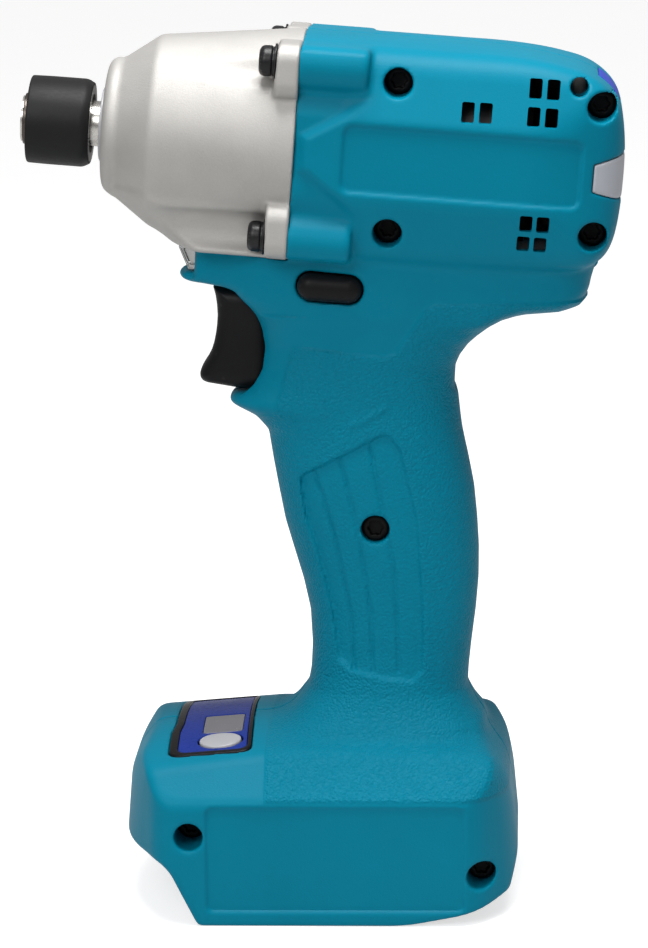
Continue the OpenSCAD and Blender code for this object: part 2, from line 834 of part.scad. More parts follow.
// Bit holder
tip = -nose_len;
tip_out = 1.7;
sleeve_u0 = tip + tip_out;
sleeve_u1 = sleeve_u0 + sleeve_len;
cover_t = 1.4;
core_r = sleeve_r - cover_t;
land_in = 7.2;
land_w = 3;
land_u0 = sleeve_u0 + land_in;
land_u1 = land_u0 + land_w;
core_bore = 7.2;
sleeve_travel = 3.5;
ball_u = land_u0 + land_w * half;
ball_r = 1.5;
ball_out = anvil_r - ball_r;
ring_tip = 1.1;
ring_u0 = tip + ring_tip;
ring_w = 0.9;
ring_in = 0.7;
seat_t = 0.8;
sleeve_coil_in = 0.75;
sleeve_wire = 0.4;
sleeve_turns = 3;
seat_gap = 0.15;
module sleeve_core() {
  color(dark_steel) head() turned([[anvil_r + run, land_u0], [core_bore, land_u0],
    [core_bore, sleeve_u0 + half],
    [core_r, sleeve_u0 + half], [core_r, sleeve_u1], [core_bore, sleeve_u1], [core_bore, land_u1],
    [anvil_r + run, land_u1]]);
}

cover_round = 0.9;
module sleeve_cover() {
  color(black) head() turned([[core_r, sleeve_u0], [sleeve_r - cover_round, sleeve_u0],
    [sleeve_r, sleeve_u0 + cover_round], [sleeve_r, sleeve_u1 - cover_round],
    [sleeve_r - cover_round, sleeve_u1], [core_r, sleeve_u1]]);
}

module sleeve_spring() {
  color(steel) head() coil(anvil_r + sleeve_coil_in, sleeve_wire, ring_u0 + ring_w + seat_t,
    land_u0 - hair, sleeve_turns);
}

module spring_seat() {
  color(steel) head() tube(core_bore - seat_gap, anvil_r + hair, ring_u0 + ring_w,
    ring_u0 + ring_w + seat_t);
}

module stop_ring() {
  color(dark_steel) head() tube(anvil_r + ring_in, anvil_r - ring_in + hair, ring_u0 + run, ring_u0 + ring_w);
}

module retaining_balls() {
  color(steel) head() for (s = [-1, 1]) translate([ball_u, s * ball_out, 0]) sphere(r = ball_r, $fn = mid);
}

nose_washer_r = 9;
nose_washer_t = 0.9;
nose_washer_gap = 0.2;
washer_u = -case_len - nose_washer_gap - nose_washer_t;
module sleeve_washer() {
  color(pale) head() tube(nose_washer_r, anvil_r + hair, washer_u, washer_u + nose_washer_t);
}

// Anvil
wing_u0 = -33.6;
wing_u1 = -27;
wing_r = 18;
wing_deg = 38;
wing_at = 43;
wing_hub_r = 9;
pilot_r = 3.4;
pilot_u = -32.6;
countersink = 1.2;
bevel = 0.3;
function fan_pts(r, a) = [[0, 0], [r * cos(-a * half), r * sin(-a * half)],
  [r * cos(-a / 4), r * sin(-a / 4)],
  [r, 0], [r * cos(a / 4), r * sin(a / 4)], [r * cos(a * half), r * sin(a * half)]];
module sectors(r, a, u0, u1) {
  for (t = [0, 180]) rotate([t, 0, 0]) translate([u0, 0, 0]) rotate([90, 0, 90])
    linear_extrude(height = u1 - u0) polygon(fan_pts(r, a));
}

module anvil() {
  color(steel) head() difference() {
    union() {
      rod(anvil_r, tip, wing_u0 + over);
      rod(wing_hub_r, wing_u0, wing_u1);
      rotate([wing_at, 0, 0]) sectors(wing_r, wing_deg, wing_u0, wing_u1);
    }
    translate([tip - over, 0, 0]) rotate([0, 90, 0]) rotate([0, 0, 90]) cylinder(r = hex_af / sqrt(3),
      h = hex_depth + over, $fn = 6);
    turned([[0, tip - over], [hex_af / sqrt(3) + countersink, tip - over],
      [hex_af / sqrt(3) - bevel, tip + half], [0, tip + half]]);
    tube(anvil_r + over, anvil_r - ring_in, ring_u0, ring_u0 + ring_w + run);
    rod(pilot_r + run, pilot_u - half, wing_u1 + over);
    cross_rod(ball_r + run, ball_u, 0, -anvil_r - over, anvil_r + over);
  }
}

module nose_seal() {
  color(black) head() tube(mouth_r + seal_w, anvil_r + hair, seal_u0, bush_u0);
}

module anvil_bush() {
  color(bronze) head() tube(bush_r, anvil_r + run, bush_u0, bush_u1);
}

anvil_washer_r = 12;
module anvil_washer() {
  color(pale) head() tube(anvil_washer_r, anvil_r + hair, cavity_u, wing_u0 - hair);
}

// Hammer and its cam
lug_u0 = -33;
face_u = -26.4;
hammer_u1 = -9;
lug_deg = 38;
lug_in = 9.6;
spin_r = 7;
pocket_u = -18;
pocket_r0 = 9.2;
pocket_r1 = 16;
cam_ball_r = 2;
cam_groove_r = 2.3;
cam_u = -21.6;
thrust_r = 1.2;
thrust_at = 12.6;
thrust_n = 16;
washer_u0 = pocket_u + thrust_r * 2 + hair;
thrust_gap = 0.3;
spring_wire = 1.2;
spring_turns = 3;
seat_washer_t = 1.2;
module hammer() {
  color(dark_steel) head() difference() {
    union() {
      rod(hammer_r, face_u, hammer_u1);
      difference() {
        sectors(wing_r, lug_deg, lug_u0, face_u + over);
        rod(lug_in, lug_u0 - over, face_u + over * 2);
      }
    }
    rod(spin_r + run, lug_u0 - over, hammer_u1 + over);
    tube(pocket_r1, pocket_r0, pocket_u, hammer_u1 + over);
    for (s = [-1, 1]) translate([cam_u, s * spin_r, 0]) sphere(r = cam_ball_r + hair + run, $fn = mid);
  }
}

module cam_balls() {
  color(steel) head() for (s = [-1, 1]) translate([cam_u, s * spin_r, 0]) sphere(r = cam_ball_r, $fn = mid);
}

module thrust_balls() {
  color(steel) head() for (k = [0 : thrust_n - 1]) rotate([360 * k / thrust_n, 0, 0])
    translate([pocket_u + thrust_r + hair * half, thrust_at, 0]) sphere(r = thrust_r, $fn = mid);
}

module thrust_washer() {
  color(steel) head() tube(pocket_r1 - thrust_gap, pocket_r0 + thrust_gap, washer_u0,
    washer_u0 + seat_washer_t);
}

module hammer_spring() {
  color(steel) head() coil(thrust_at, spring_wire, washer_u0 + seat_washer_t, disc_u, spring_turns);
}

// Spindle with its carrier discs and cam grooves
cam_steps = 6;
web_w = 9;
spindle_gap = 0.3;
module spindle() {
  color(steel) head() difference() {
    union() {
      rod(spin_r, wing_u1 + spindle_gap, disc_u + hair);
      rod(pilot_r, pilot_u, wing_u1 + half);
      rod(carrier_r, disc_u, disc_u + disc_t);
      rod(carrier_r, disc2_u, disc2_u + disc_t);
      rod(stub_r, disc2_u + disc_t - hair, stub_u + bearing_w);
      intersection() {
        rod(carrier_r, disc_u, disc2_u + disc_t);
        block(disc_u, disc2_u + disc_t, web_w * half, -far, far);
      }
    }
    rod(pinion_hole, disc_u + disc_t * half, stub_u + bearing_w + over);
    for (s = [-1, 1]) translate([0, s * orbit, 0]) rod(pin_r, disc_u - over, disc2_u + disc_t + over, mid);
    for (s = [0, 180], k = [-cam_steps : cam_steps]) rotate([s + cam_turn * k / cam_steps, 0, 0])
      translate([cam_u + hammer_travel * abs(k) / cam_steps, spin_r, 0]) sphere(r = cam_groove_r, $fn = mid);
  }
}

// Gears: involute flanks, as points of one outline
flank_steps = 4;
backlash = 0.09;
tip_share = 0.8;
root_share = 1;
function inv_deg(a) = tan(a) * 180 / PI - a;
function half_deg(z, r, slack) =
  let (rp = gear_m * z * half, rb = rp * cos(press), a = acos(min(1, rb / max(r, rb))))
  90 / z + inv_deg(press) - inv_deg(a) - slack / rp * 180 / PI;
function gear_pts(z, r_root, r_tip, slack) =
  let (rb = gear_m * z * half * cos(press), r0 = max(r_root, rb))
  [for (t = [0 : z - 1]) let (c = 360 * t / z, h = half_deg(z, rb, slack)) each concat(
    r_root < rb ? [[r_root * cos(c - h), r_root * sin(c - h)]] : [],
    [for (k = [0 : flank_steps])
      let (r = r0 + (r_tip - r0) * k / flank_steps, a = c - half_deg(z, r, slack))
      [r * cos(a), r * sin(a)]],
    [for (k = [flank_steps : -1 : 0])
      let (r = r0 + (r_tip - r0) * k / flank_steps, a = c + half_deg(z, r, slack))
      [r * cos(a), r * sin(a)]],
    r_root < rb ? [[r_root * cos(c + h), r_root * sin(c + h)]] : [])];

module gear_bar(z, u0, u1, turn) {
  rp = gear_m * z * half;
  translate([u0, 0, 0]) rotate([90, 0, 90]) rotate([0, 0, turn]) linear_extrude(height = u1 - u0)
    polygon(gear_pts(z, rp - root_share * gear_m, rp + tip_share * gear_m, backlash));
}

module planet(side) {
  head() translate([0, side * orbit, 0]) difference() {
    gear_bar(planet_teeth, gear_u, gear_u + gear_w, 180 / planet_teeth);
    rod(pin_r + run, gear_u - over, gear_u + gear_w + over, mid);
  }
}

module planet_gear_a() {
  color(steel) planet(-1);
}

module planet_gear_b() {
  color(steel) planet(1);
}

module planet_pins() {
  color(dark_steel) head() for (s = [-1, 1]) translate([0, s * orbit, 0])
    rod(pin_r, disc_u, disc2_u + disc_t, mid);
}

module ring_gear() {
  rp = gear_m * ring_teeth * half;
  color(dark_steel) head() difference() {
    rod(ring_out, gear_u - ring_lip, gear_u + gear_w + ring_lip);
    translate([gear_u - over, 0, 0]) rotate([90, 0, 90]) rotate([0, 0, 180 / ring_teeth])
      linear_extrude(height = gear_w + over * 2)
        polygon(gear_pts(ring_teeth, rp - tip_share * gear_m, rp + root_share * gear_m, -backlash));
  }
}

module gear_case() {
  color(black) head() difference() {
    union() {
      rod(cup_r, 0, cup_u);
      rod(gear_boss_r, cup_u - hair, gear_boss_u);
      rod(nose_boss_r, gear_boss_u - hair, nose_boss_u);
    }
    rod(ring_out, -over, gear_u + gear_w + ring_lip);
    rod(carrier_r + carrier_gap, 0, stub_u + end_gap);
    rod(spindle_brg_r, stub_u, stub_u + bearing_w + end_gap);
    rod(shaft_r + over, stub_u, nose_boss_u + over);
    rod(rotor_brg_r, rotor_brg_u, nose_boss_u + over);
  }
}

// A ball bearing drawn as two rings with a filled middle
race_share = 0.3;
dish = 0.4;
module bearing(r1, r0, u0, u1) {
  step = (r1 - r0) * race_share;
  turned([[r0, u0], [r0 + step, u0], [r0 + step, u0 + dish], [r1 - step, u0 + dish], [r1 - step, u0],
    [r1, u0], [r1, u1], [r1 - step, u1], [r1 - step, u1 - dish], [r0 + step, u1 - dish],
    [r0 + step, u1], [r0, u1]]);
}

module spindle_bearing() {
  color(steel) head() bearing(spindle_brg_r, stub_r + run, stub_u + end_gap, stub_u + bearing_w);
}

module rotor_front_bearing() {
  color(steel) head() bearing(rotor_brg_r, shaft_r + run, rotor_brg_u, rotor_brg_u + rotor_brg_w);
}

module rotor_rear_bearing() {
  color(steel) head() bearing(rotor_brg_r, shaft_r + run, rear_brg_u, rear_brg_u + rear_brg_w);
}

module bearing_cushion() {
  color(black) head() difference() {
    rod(cushion_r, rear_brg_u, cushion_end);
    rod(rotor_brg_r, rear_brg_u - over, rear_brg_u + rear_brg_w);
  }
}

// Rotor
module rotor_shaft() {
  color(steel) head() {
    rod(shaft_r, pinion_u1 - hair, rear_brg_u + rear_brg_w - end_gap, mid);
    gear_bar(sun_teeth, pinion_u0, pinion_u1, 0);
  }
}

core_in = 1;
module rotor_core() {
  color(dark_steel) head() difference() {
    rod(rotor_r, stator_u - core_in, stator_end + core_in);
    rod(shaft_r, stator_u - core_in - over, stator_end + core_in + over, mid);
  }
}

module fan() {
  color(black) head() difference() {
    union() {
      rod(fan_hub_r, fan_u, fan_u + fan_w);
      rod(fan_r, fan_u, fan_u + fan_t);
      for (k = [0 : blades - 1]) rotate([360 * k / blades, 0, 0])
        translate([fan_u + fan_t - hair, fan_hub_r - over, -blade_t * half])
          cube([fan_w - fan_t, fan_r - fan_hub_r, blade_t]);
    }
    rod(shaft_r, fan_u - over, fan_u + fan_w + over, mid);
  }
}

// Stator
slot_r = stator_r - yoke_t;
module tooth_bar(u0, u1, w) {
  translate([u0, stator_bore + half, -w * half]) cube([u1 - u0, slot_r - stator_bore, w]);
}
shoe_deg = 50;
module stator_core() {
  color(grey) head() {
    tube(stator_r, slot_r, stator_u, stator_end);
    for (k = [0 : teeth_n - 1]) rotate([360 * k / teeth_n, 0, 0]) {
      tooth_bar(stator_u, stator_end, tooth_w);
      intersection() {
        tube(stator_bore + shoe_t, stator_bore, stator_u, stator_end);
        translate([stator_u, 0, 0]) rotate([90, 0, 90]) linear_extrude(height = stator_len)
          polygon(fan_pts(stator_r, shoe_deg));
      }
    }
  }
}

coil_t = 1.7;
coil_h = slot_r - stator_bore - shoe_t - coil_gap - coil_top - half;
module stator_coils() {
  color(copper) head() for (k = [0 : teeth_n - 1]) rotate([360 * k / teeth_n, 0, 0]) difference() {
    translate([stator_u - coil_out, stator_bore + shoe_t + coil_gap, -tooth_w * half - coil_t])
      cube([stator_len + coil_out * 2, coil_h, tooth_w + coil_t * 2]);
    translate([stator_u - hair, 0, -tooth_w * half - hair])
      cube([stator_len + hair * 2, far, tooth_w + hair * 2]);
  }
}

board_in = 1.5;
sensor_u = stator_end + coil_out + hair;
module sensor_board() {
  color(green) head() tube(slot_r - half, stator_bore + board_in, sensor_u, sensor_u + board_t);
}

// Controls
module trigger() {
  color(black) difference() {
    union() {
      translate([trigger_x, trigger_hw, trigger_z]) rotate([90, 0, 0]) linear_extrude(height = trigger_hw * 2)
        polygon([for (p = trigger_shares) [p[0] * trigger_d, p[1] * trigger_h]]);
      translate([trigger_x - over - spring_pocket, 0, trigger_z + trigger_h * half])
        rod(stem_r, 0, stem_len + over + spring_pocket, mid);
    }
    translate([trigger_x - spring_pocket, 0, trigger_z + trigger_h * half])
      tube(spring_pocket_r, stem_r, 0, spring_pocket + over, mid);
  }
}

module trigger_spring() {
  color(steel) translate([0, 0, trigger_z + trigger_h * half])
    coil(trigger_coil_r, trigger_wire, trigger_x - spring_pocket + hair, switch_x - hair, trigger_turns);
}

module switch_body() {
  color(black) difference() {
    block(switch_x, switch_x1, switch_hw, switch_z0, switch_z0 + switch_h);
    translate([switch_x - over, 0, trigger_z + trigger_h * half]) rod(stem_r + run, 0, stem_len + over, mid);
    wire_paths(wire_r + hair);
  }
}

module reversing_lever() {
  color(black) lever_shape(0, lever_hw);
}

module lamp_lens() {
  color(clear) lamp_prism(0);
}

led_r = 1.4;
module lamp_board() {
  color(green) {
    block(lamp_x + lamp_gap, lamp_x + lamp_board_x, lamp_hw - over - hair, lamp_z0 + lamp_gap,
      lamp_z0 + lamp_h - lamp_gap);
    translate([0, 0, lamp_z0 + lamp_h * half]) rod(led_r, lamp_x + hair, lamp_x + lamp_gap + hair, mid);
  }
}

// Display
module display_frame() {
  color(black) display() difference() {
    disp_slab(0, -frame_deep, frame_top);
    translate([0, 0, -far * half]) linear_extrude(height = far) disp_outline(frame_in);
  }
}

module display_panel() {
  color(blue) display() difference() {
    disp_slab(frame_in + hair, frame_top - panel_sink - panel_t, frame_top - panel_sink);
    translate([window_x - window_l * half - hair, window_y - window_w * half - hair, -far * half])
      cube([window_l + hair * 2, window_w + hair * 2, far]);
    button_prism(free, -button_t * 4, button_t * 4);
  }
}

module display_window() {
  color(grey) display() intersection() {
    disp_slab(frame_in + hair, frame_top - panel_sink - panel_t, frame_top - panel_sink - hair);
    translate([window_x - window_l * half, window_y - window_w * half, -far * half])
      cube([window_l, window_w, far]);
  }
}

module lamp_button() {
  color(pale) display() button_prism(0, -button_t, frame_top + half);
}

disp_board_z = 7.2;
post_r = 2.4;
post_gap = 1.75;
pillar_r = 3.4;
post_h = disp_board_z - board_t - button_t - button_travel - post_gap;
pillar_h = disp_board_z - board_t - panel_t + frame_top - panel_sink - end_gap;
module display_board() {
  color(green) display() {
    translate([0, 0, -disp_board_z]) linear_extrude(height = board_t) disp_outline(frame_in + ring_lip);
    translate([window_x * half, button_y, -disp_board_z + board_t - hair])
      cylinder(r = post_r, h = post_h, $fn = mid);
    translate([window_x, window_y, -disp_board_z + board_t - hair])
      cylinder(r = pillar_r, h = pillar_h, $fn = mid);
  }
}

// Rear
module status_lens() {
  color(clear) difference() {
    intersection() {
      head() head_outer();
      lens_prism(0);
    }
    head() head_inner();
  }
}

status_hw = 10.6;
status_z = [6, 7];
status_gap = 0.6;
status_u = inner_head_len - status_gap;
module status_board() {
  color(green) head() block(status_u - board_t, status_u, status_hw, -status_z[0], status_z[1]);
}

module rear_cap() {
  color(blue) head() intersection() {
    head_outer();
    cap_zone(0);
  }
}

module hanger_tube() {
  color(steel) head() translate([hanger_shares[0] * head_len, 0, hanger_shares[1] * head_r]) difference() {
    cross_rod(hanger_r, 0, 0, -hanger_hw, hanger_hw);
    cross_rod(hanger_bore, 0, 0, -hanger_hw - over, hanger_hw + over);
  }
}

// Base electronics
module controller_tray() {
  color(alu) difference() {
    block(tray_x0, tray_x1, tray_hw, tray_z, tray_z + tray_h);
    block(tray_x0 + tray_wall, tray_x1 - tray_wall, tray_hw - tray_wall, tray_z + tray_wall, far);
  }
}

can_xs = [-12, 0, 12];
can_y = 8;
can_r = 4;
can_h = 8;
module controller_board() {
  color(green) {
    block(tray_x0 + tray_wall + hair, tray_x1 - tray_wall - hair, tray_hw - tray_wall - hair,
      tray_z + tray_wall + hair, tray_z + tray_wall + hair + board_t);
    for (x = can_xs) translate([x, can_y, tray_z + tray_wall]) cylinder(r = can_r, h = can_h, $fn = mid);
  }
}

module battery_mount() {
  color(black) {
    block(mount_x0, mount_x1, mount_hw, mount_z, mount_z + mount_t);
    for (s = [-1, 1]) {
      translate([mount_x0, s > 0 ? rail_hw - rail_t : -rail_hw, rail_z0])
        cube([mount_x1 - mount_x0, rail_t, mount_z - rail_z0 + hair]);
      translate([mount_x0, s > 0 ? rail_hw - rail_t - rail_lip : -rail_hw, rail_z0])
        cube([mount_x1 - mount_x0, rail_t + rail_lip, rail_lip_t]);
    }
    block(term_x0, term_x1, term_hw, term_z, mount_z + hair);
  }
}

blade_l = 14;
blade_w = 0.9;
blade_h = 4.6;
blade_ys = [-11, 11];
module terminal_blades() {
  color(copper) for (y = blade_ys) translate([term_x0 - blade_l, y - blade_w * half, term_z + hair])
    cube([blade_l, blade_w, blade_h]);
}

// Leads from the controller up the grip to the switch, and from the switch to the motor
wire_r = 1.1;
wire_ys = [-4, 0, 4];
wire_shares = [0.36, 0.4, 0.44, 0.46, 0.46, 0.44, 0.4, 0.34];
wire_z0 = tray_z + tray_wall + board_t + hair;
wire_in = 3;
wire_z1 = switch_z0 + wire_in;
wire_n = 12;
module wire_paths(r) {
  m = len(wire_shares) - 1;
  for (y = wire_ys) loft([for (k = [0 : m])
    [for (i = [0 : wire_n - 1]) let (a = 360 * i / wire_n)
      [wire_shares[k] * grip_d + r * cos(a), y + r * sin(a), wire_z0 + (wire_z1 - wire_z0) * k / m]]]);
}

module lead_wires() {
  color(black) wire_paths(wire_r);
}

housing_left();
housing_right();
hammer_case();
case_screws();
case_washers();
housing_screws();
sleeve_core();
sleeve_cover();
sleeve_spring();
spring_seat();
stop_ring();
retaining_balls();
sleeve_washer();
anvil();
nose_seal();
anvil_bush();
anvil_washer();
hammer();
cam_balls();
hammer_spring();
thrust_washer();
thrust_balls();
spindle();
planet_gear_a();
planet_gear_b();
planet_pins();
ring_gear();
gear_case();
spindle_bearing();
rotor_shaft();
rotor_core();
fan();
rotor_front_bearing();
rotor_rear_bearing();
bearing_cushion();
stator_core();
stator_coils();
sensor_board();
switch_body();
trigger();
trigger_spring();
reversing_lever();
lamp_lens();
lamp_board();
display_frame();
display_panel();
display_window();
lamp_button();
display_board();
status_lens();
status_board();
rear_cap();
hanger_tube();
controller_tray();
controller_board();
battery_mount();
terminal_blades();
lead_wires();
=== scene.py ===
import json
import math

import bmesh
import bpy
import numpy as np
from mathutils import Matrix, Vector


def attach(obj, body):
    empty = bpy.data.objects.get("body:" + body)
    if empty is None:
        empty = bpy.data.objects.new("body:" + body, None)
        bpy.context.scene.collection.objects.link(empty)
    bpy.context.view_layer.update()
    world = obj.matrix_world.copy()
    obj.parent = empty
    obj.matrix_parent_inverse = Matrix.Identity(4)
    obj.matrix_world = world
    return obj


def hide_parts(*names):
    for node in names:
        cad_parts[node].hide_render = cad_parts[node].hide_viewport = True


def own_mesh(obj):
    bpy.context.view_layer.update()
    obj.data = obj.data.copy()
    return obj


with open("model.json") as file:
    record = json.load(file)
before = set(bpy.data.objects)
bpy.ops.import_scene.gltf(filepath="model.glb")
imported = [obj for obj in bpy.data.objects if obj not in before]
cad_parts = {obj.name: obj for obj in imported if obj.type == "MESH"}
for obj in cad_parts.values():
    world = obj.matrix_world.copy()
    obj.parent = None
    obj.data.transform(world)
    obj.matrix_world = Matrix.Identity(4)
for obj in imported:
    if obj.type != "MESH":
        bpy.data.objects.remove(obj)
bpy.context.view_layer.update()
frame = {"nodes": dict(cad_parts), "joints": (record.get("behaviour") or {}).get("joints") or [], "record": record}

# Lengths below are in millimetres unless a name or a comment says metres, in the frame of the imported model:
# X from the nose to the rear, Y to the right-hand side, Z up.
MM = 0.001
drive_joint = next(j for j in frame["joints"] if j["name"] == "spindle_spin")
JOINT_X = drive_joint["pos_m"][0] / MM
JOINT_Z = drive_joint["pos_m"][2] / MM
TILT = math.asin(-drive_joint["axis"][2])

# A face of a form is given by a point on it and its outward direction in degrees.

# Head, measured from its joint with the hammer case: u to the rear, w up. A facet starts at a height and leans in by
# some degrees. RECESS and SIDE_PANEL hold a middle, half-sizes and a corner's round.
HEAD_LEN = 78.5
HEAD_HW = 27.0
WALL = 2.4
UPPER_FACET = (9.4, 20)
LOWER_FACET = (9.8, 17)
HEAD_PLAN = [((62, 26.6), 76), ((70, 24.6), 57), ((75.5, 21.0), 29)]
CROWN_W = 27.0
CROWN = [((52.0, 27.0), 78.9), ((68.7, 23.9), 52.5)]
CROWN_FALL = 0.0043
CROWN_EASE = 0.0025
BELLY_W = 26.3
BELLY = [((60, -25.4), -80.4), ((75.5, -21), -47.6)]
HEAD_BACK = [((76, 18.2), 16.7), ((HEAD_LEN, 0), 0), ((78.5, -14.9), -12.4)]
CHEVRON_U = 3.1
CHEVRON = [((3, 3.6), 121.3), ((3.2, -3.1), -125.8)]
VALLEY = 1.6
VALLEY_END = (10, 19)
RECESS = ((39.8, -0.1), (28.2, 7.9), 2.2)
RECESS_DEPTH = 0.85
HOLLOW_END = 69
BOSS_AT = 21.0
BOSS_R = 6.4
BOSS_TOP = 25.7
BOSS_ENDS = ((BOSS_AT, 16.5), (-BOSS_AT, 15.0))

# Screws of the left half: their places, the depth of their holes and of their heads from the split
HEAD_SCREWS = [(23.4, 18.2), (23.4, -17.4), (71.7, 15.9), (72.0, -14.8)]
HEAD_SCREW_TOPS = (16.8, 17.4, 14.4, 15.0)
HEAD_SCREW_DEPTH = 9.6
GRIP_SCREW = (12.4, 94.5)
GRIP_SCREW_TOP = 13.9
GRIP_SCREW_DEPTH = 5.9
BASE_SCREWS = [(-33.1, 22.5), (37.9, 12.2)]
BASE_SCREW_TOP = 26.0
BASE_SCREW_DEPTH = 16.4
HOLE_R = 3.5
SCREW_WALL = 1.5

# Trim of the head's rear
HANGER = (66.0, 20.3)
HANGER_R = 2.15
HANGER_WALL = 0.45
HANGER_HW = 17.0
LENS_U = 71.0
LENS_W = -0.8
LENS_HALF = 3.24
LENS_FLARE = 107.3
CAP_SPAN = (70.7, 76.3)
CAP_HW = 9.0
CAP_T = 1.5
TRIM_GAP = 0.12
TRIM_SINK = 0.05
TAB = (65.2, 158.0)
TAB_R = 1.5
TAB_HW = 2

# Grip, upward: height, front, rear, half-width, squareness
GRIP_ROWS = np.array([
    (36.0, -9.5, 37.4, 21.7, 3.0),
    (44.8, -10.4, 38.4, 21.0, 3.0),
    (49.2, -7.5, 35.9, 18.2, 2.7),
    (52.3, -5.2, 34.5, 16.9, 2.5),
    (56.2, -4.4, 34.7, 16.2, 2.5),
    (62.6, -4.0, 35.4, 16.0, 2.5),
    (71.6, -4.4, 36.6, 16.3, 2.5),
    (79.3, -6.0, 37.3, 16.6, 2.5),
    (87.0, -8.2, 37.4, 17.0, 2.5),
    (94.5, -10.3, 37.0, 17.2, 2.5),
    (102.2, -11.7, 36.3, 17.2, 2.5),
    (109.8, -13.0, 34.9, 17.0, 2.5),
    (117.2, -14.1, 33.3, 16.7, 2.5),
    (121.0, -17.5, 32.7, 16.4, 2.5),
    (124.2, -23.7, 32.2, 16.3, 2.6),
    (125.7, -23.2, 32.0, 16.3, 2.6),
    (129.0, -19.0, 31.9, 16.3, 2.6),
    (133.0, -16.6, 32.3, 16.5, 2.6),
    (138.6, -15.5, 36.2, 17.0, 2.8),
    (143.3, -15.8, 43.5, 17.7, 3.2),
    (145.5, -16.3, 56.9, 18.2, 3.8),
    (147.0, -17.0, 62.8, 18.6, 4.2),
    (150.7, -19.9, 64.2, 19.1, 4.5),
    (152.0, -20.4, 64.4, 19.3, 4.5),
    (155.0, -21.0, 65.0, 19.6, 4.5),
    (158.0, -21.0, 65.9, 20.0, 4.5),
    (162.5, -21.0, 65.9, 20.2, 4.5),
    (172.0, -19.9, 56.9, 18.0, 4.0),
])

# Trigger, switch, lever and lamp. SWITCH holds its front, rear, half-width, lower and upper end, and LAMP_ROOM its
# rear, floor and half-width.
TRIGGER_X = -13.0
TRIGGER_Z = 127.0
TRIGGER_H = 24.0
TRIGGER_RISE = 2
TRIGGER_HW = 7.4
SWITCH = (-6.5, 23.5, 10.5, 126.6, 148.6)
SWITCH_GAP = 0.1
LEVER = (2.2, 154.6)
LEVER_LEN = 15.7
LEVER_H = 6.8
LEVER_HW = 21.5
GAP = 0.35
LAMP_ROOM = (-28.8, 156.4, 6.2)

# Base
BASE_HW = 36.4
DRAFT_Z = 13
DRAFT = 0.012
SIDE_PANEL = ((2.5, 16.8), (31.3, 13.2), 1.6)
SIDE_PANEL_DEPTH = 0.8
BASE_FRONT = [((-50.4, 19), 174), ((-48.3, 35), 147), ((-44.2, 41.4), 128)]
BASE_REAR = [((46.6, 17), 5), ((43.9, 35), 20), ((40.4, 39.8), 45)]
BASE_CORNERS = [((-50.6, 15), 155.3), ((46.4, 24), 38)]
SHOULDER = ((31.7, 36), 42.7)
ROOF_X = -30
ROOF_Z = 43.6
ROOF_RISE = 0.082
ROOF_TOP = 45
ROOF_FALL = 0.004
ROOF_FALL_X = 20
CROWN_R = 98.0
HEEL = [((22.6, 0.6), -79.2), ((38.9, 4.0), -70), ((44.9, 6.3), -16.3)]
NOTCH = [((-41.5, 16.3), 92), ((-31.7, 0.9), 26.3)]
BAY_MID = 1
BAY_HALF = 31.1
BAY_TOPS = (14.6, 12.9)

# Display on the base
DISP_X = -28.6
DISP_Z = 43.3
DISP_TILT = math.radians(4.7)
DISP_LEN = 20.4
DISP_HW = 25.0
DISP_ROUND = 2.6
DISP_SHARES = [(-0.5, -1), (0.5, -1), (0.46, 1), (-0.45, 1), (-0.45, -0.3), (-0.5, -0.55)]
DISP_SEAT = 6.2
DISP_ROOM = 9
DISP_CLEAR = 6
FRAME_IN = 1.6


# Fields: the distance to a surface at every point of a grid, below zero inside


def smax(a, b, k):
    """The common part of two solids, rounded over k."""
    h = np.maximum(k - np.abs(a - b), 0) / k
    return np.maximum(a, b) + h * h * (k * 0.25)


def smin(a, b, k):
    """Two solids joined by a fillet of about k."""
    return -smax(-a, -b, k)


def rounded(a, b, r):
    """The common part of two solids, with a true round of radius r."""
    a, b = a + r, b + r
    return np.hypot(np.maximum(a, 0), np.maximum(b, 0)) + np.minimum(np.maximum(a, b), 0) - r


def blended(fields, k):
    """The common part of many solids, each rounded into the rest over k."""
    out = fields[0]
    for f in fields[1:]:
        out = smax(out, f, k)
    return out


def ramp(v, lo, hi):
    """A smooth rise from 0 at lo to 1 at hi."""
    t = np.clip((v - lo) / (hi - lo), 0, 1)
    return t * t * (3 - 2 * t)


def lean(p, q, at, degrees):
    """Distance past a straight face through at, whose outward direction is given."""
    a = math.radians(degrees)
    return (p - at[0]) * math.cos(a) + (q - at[1]) * math.sin(a)


def leans(p, q, faces):
    return [lean(p, q, at, degrees) for at, degrees in faces]


def prism(p, q, faces):
    """The common part of straight faces."""
    return np.maximum.reduce(leans(p, q, faces))


def facet(side, past, degrees):
    """A side that leans in by some degrees from where past is zero."""
    t = math.radians(degrees)
    return side * math.cos(t) + past * math.sin(t)


def turned_by(x, z, mid, angle):
    """Places measured from mid along axes turned by an angle."""
    c, s = math.cos(angle), math.sin(angle)
    return (x - mid[0]) * c - (z - mid[1]) * s, (x - mid[0]) * s + (z - mid[1]) * c


def round_box(p, q, mid, size, r):
    """Distance to a rectangle with its corners rounded by r."""
    dp = np.abs(p - mid[0]) - size[0] + r
    dq = np.abs(q - mid[1]) - size[1] + r
    return np.hypot(np.maximum(dp, 0), np.maximum(dq, 0)) + np.minimum(np.maximum(dp, dq), 0) - r


def line_gap(p, q, pts):
    """Distance to a line through points."""
    best = np.full(np.broadcast(p, q).shape, 1e3, np.float32)
    for (x0, y0), (x1, y1) in zip(pts, pts[1:]):
        dx, dy = x1 - x0, y1 - y0
        t = np.clip(((p - x0) * dx + (q - y0) * dy) / (dx * dx + dy * dy), 0, 1)
        best = np.minimum(best, np.hypot(p - x0 - t * dx, q - y0 - t * dy))
    return best


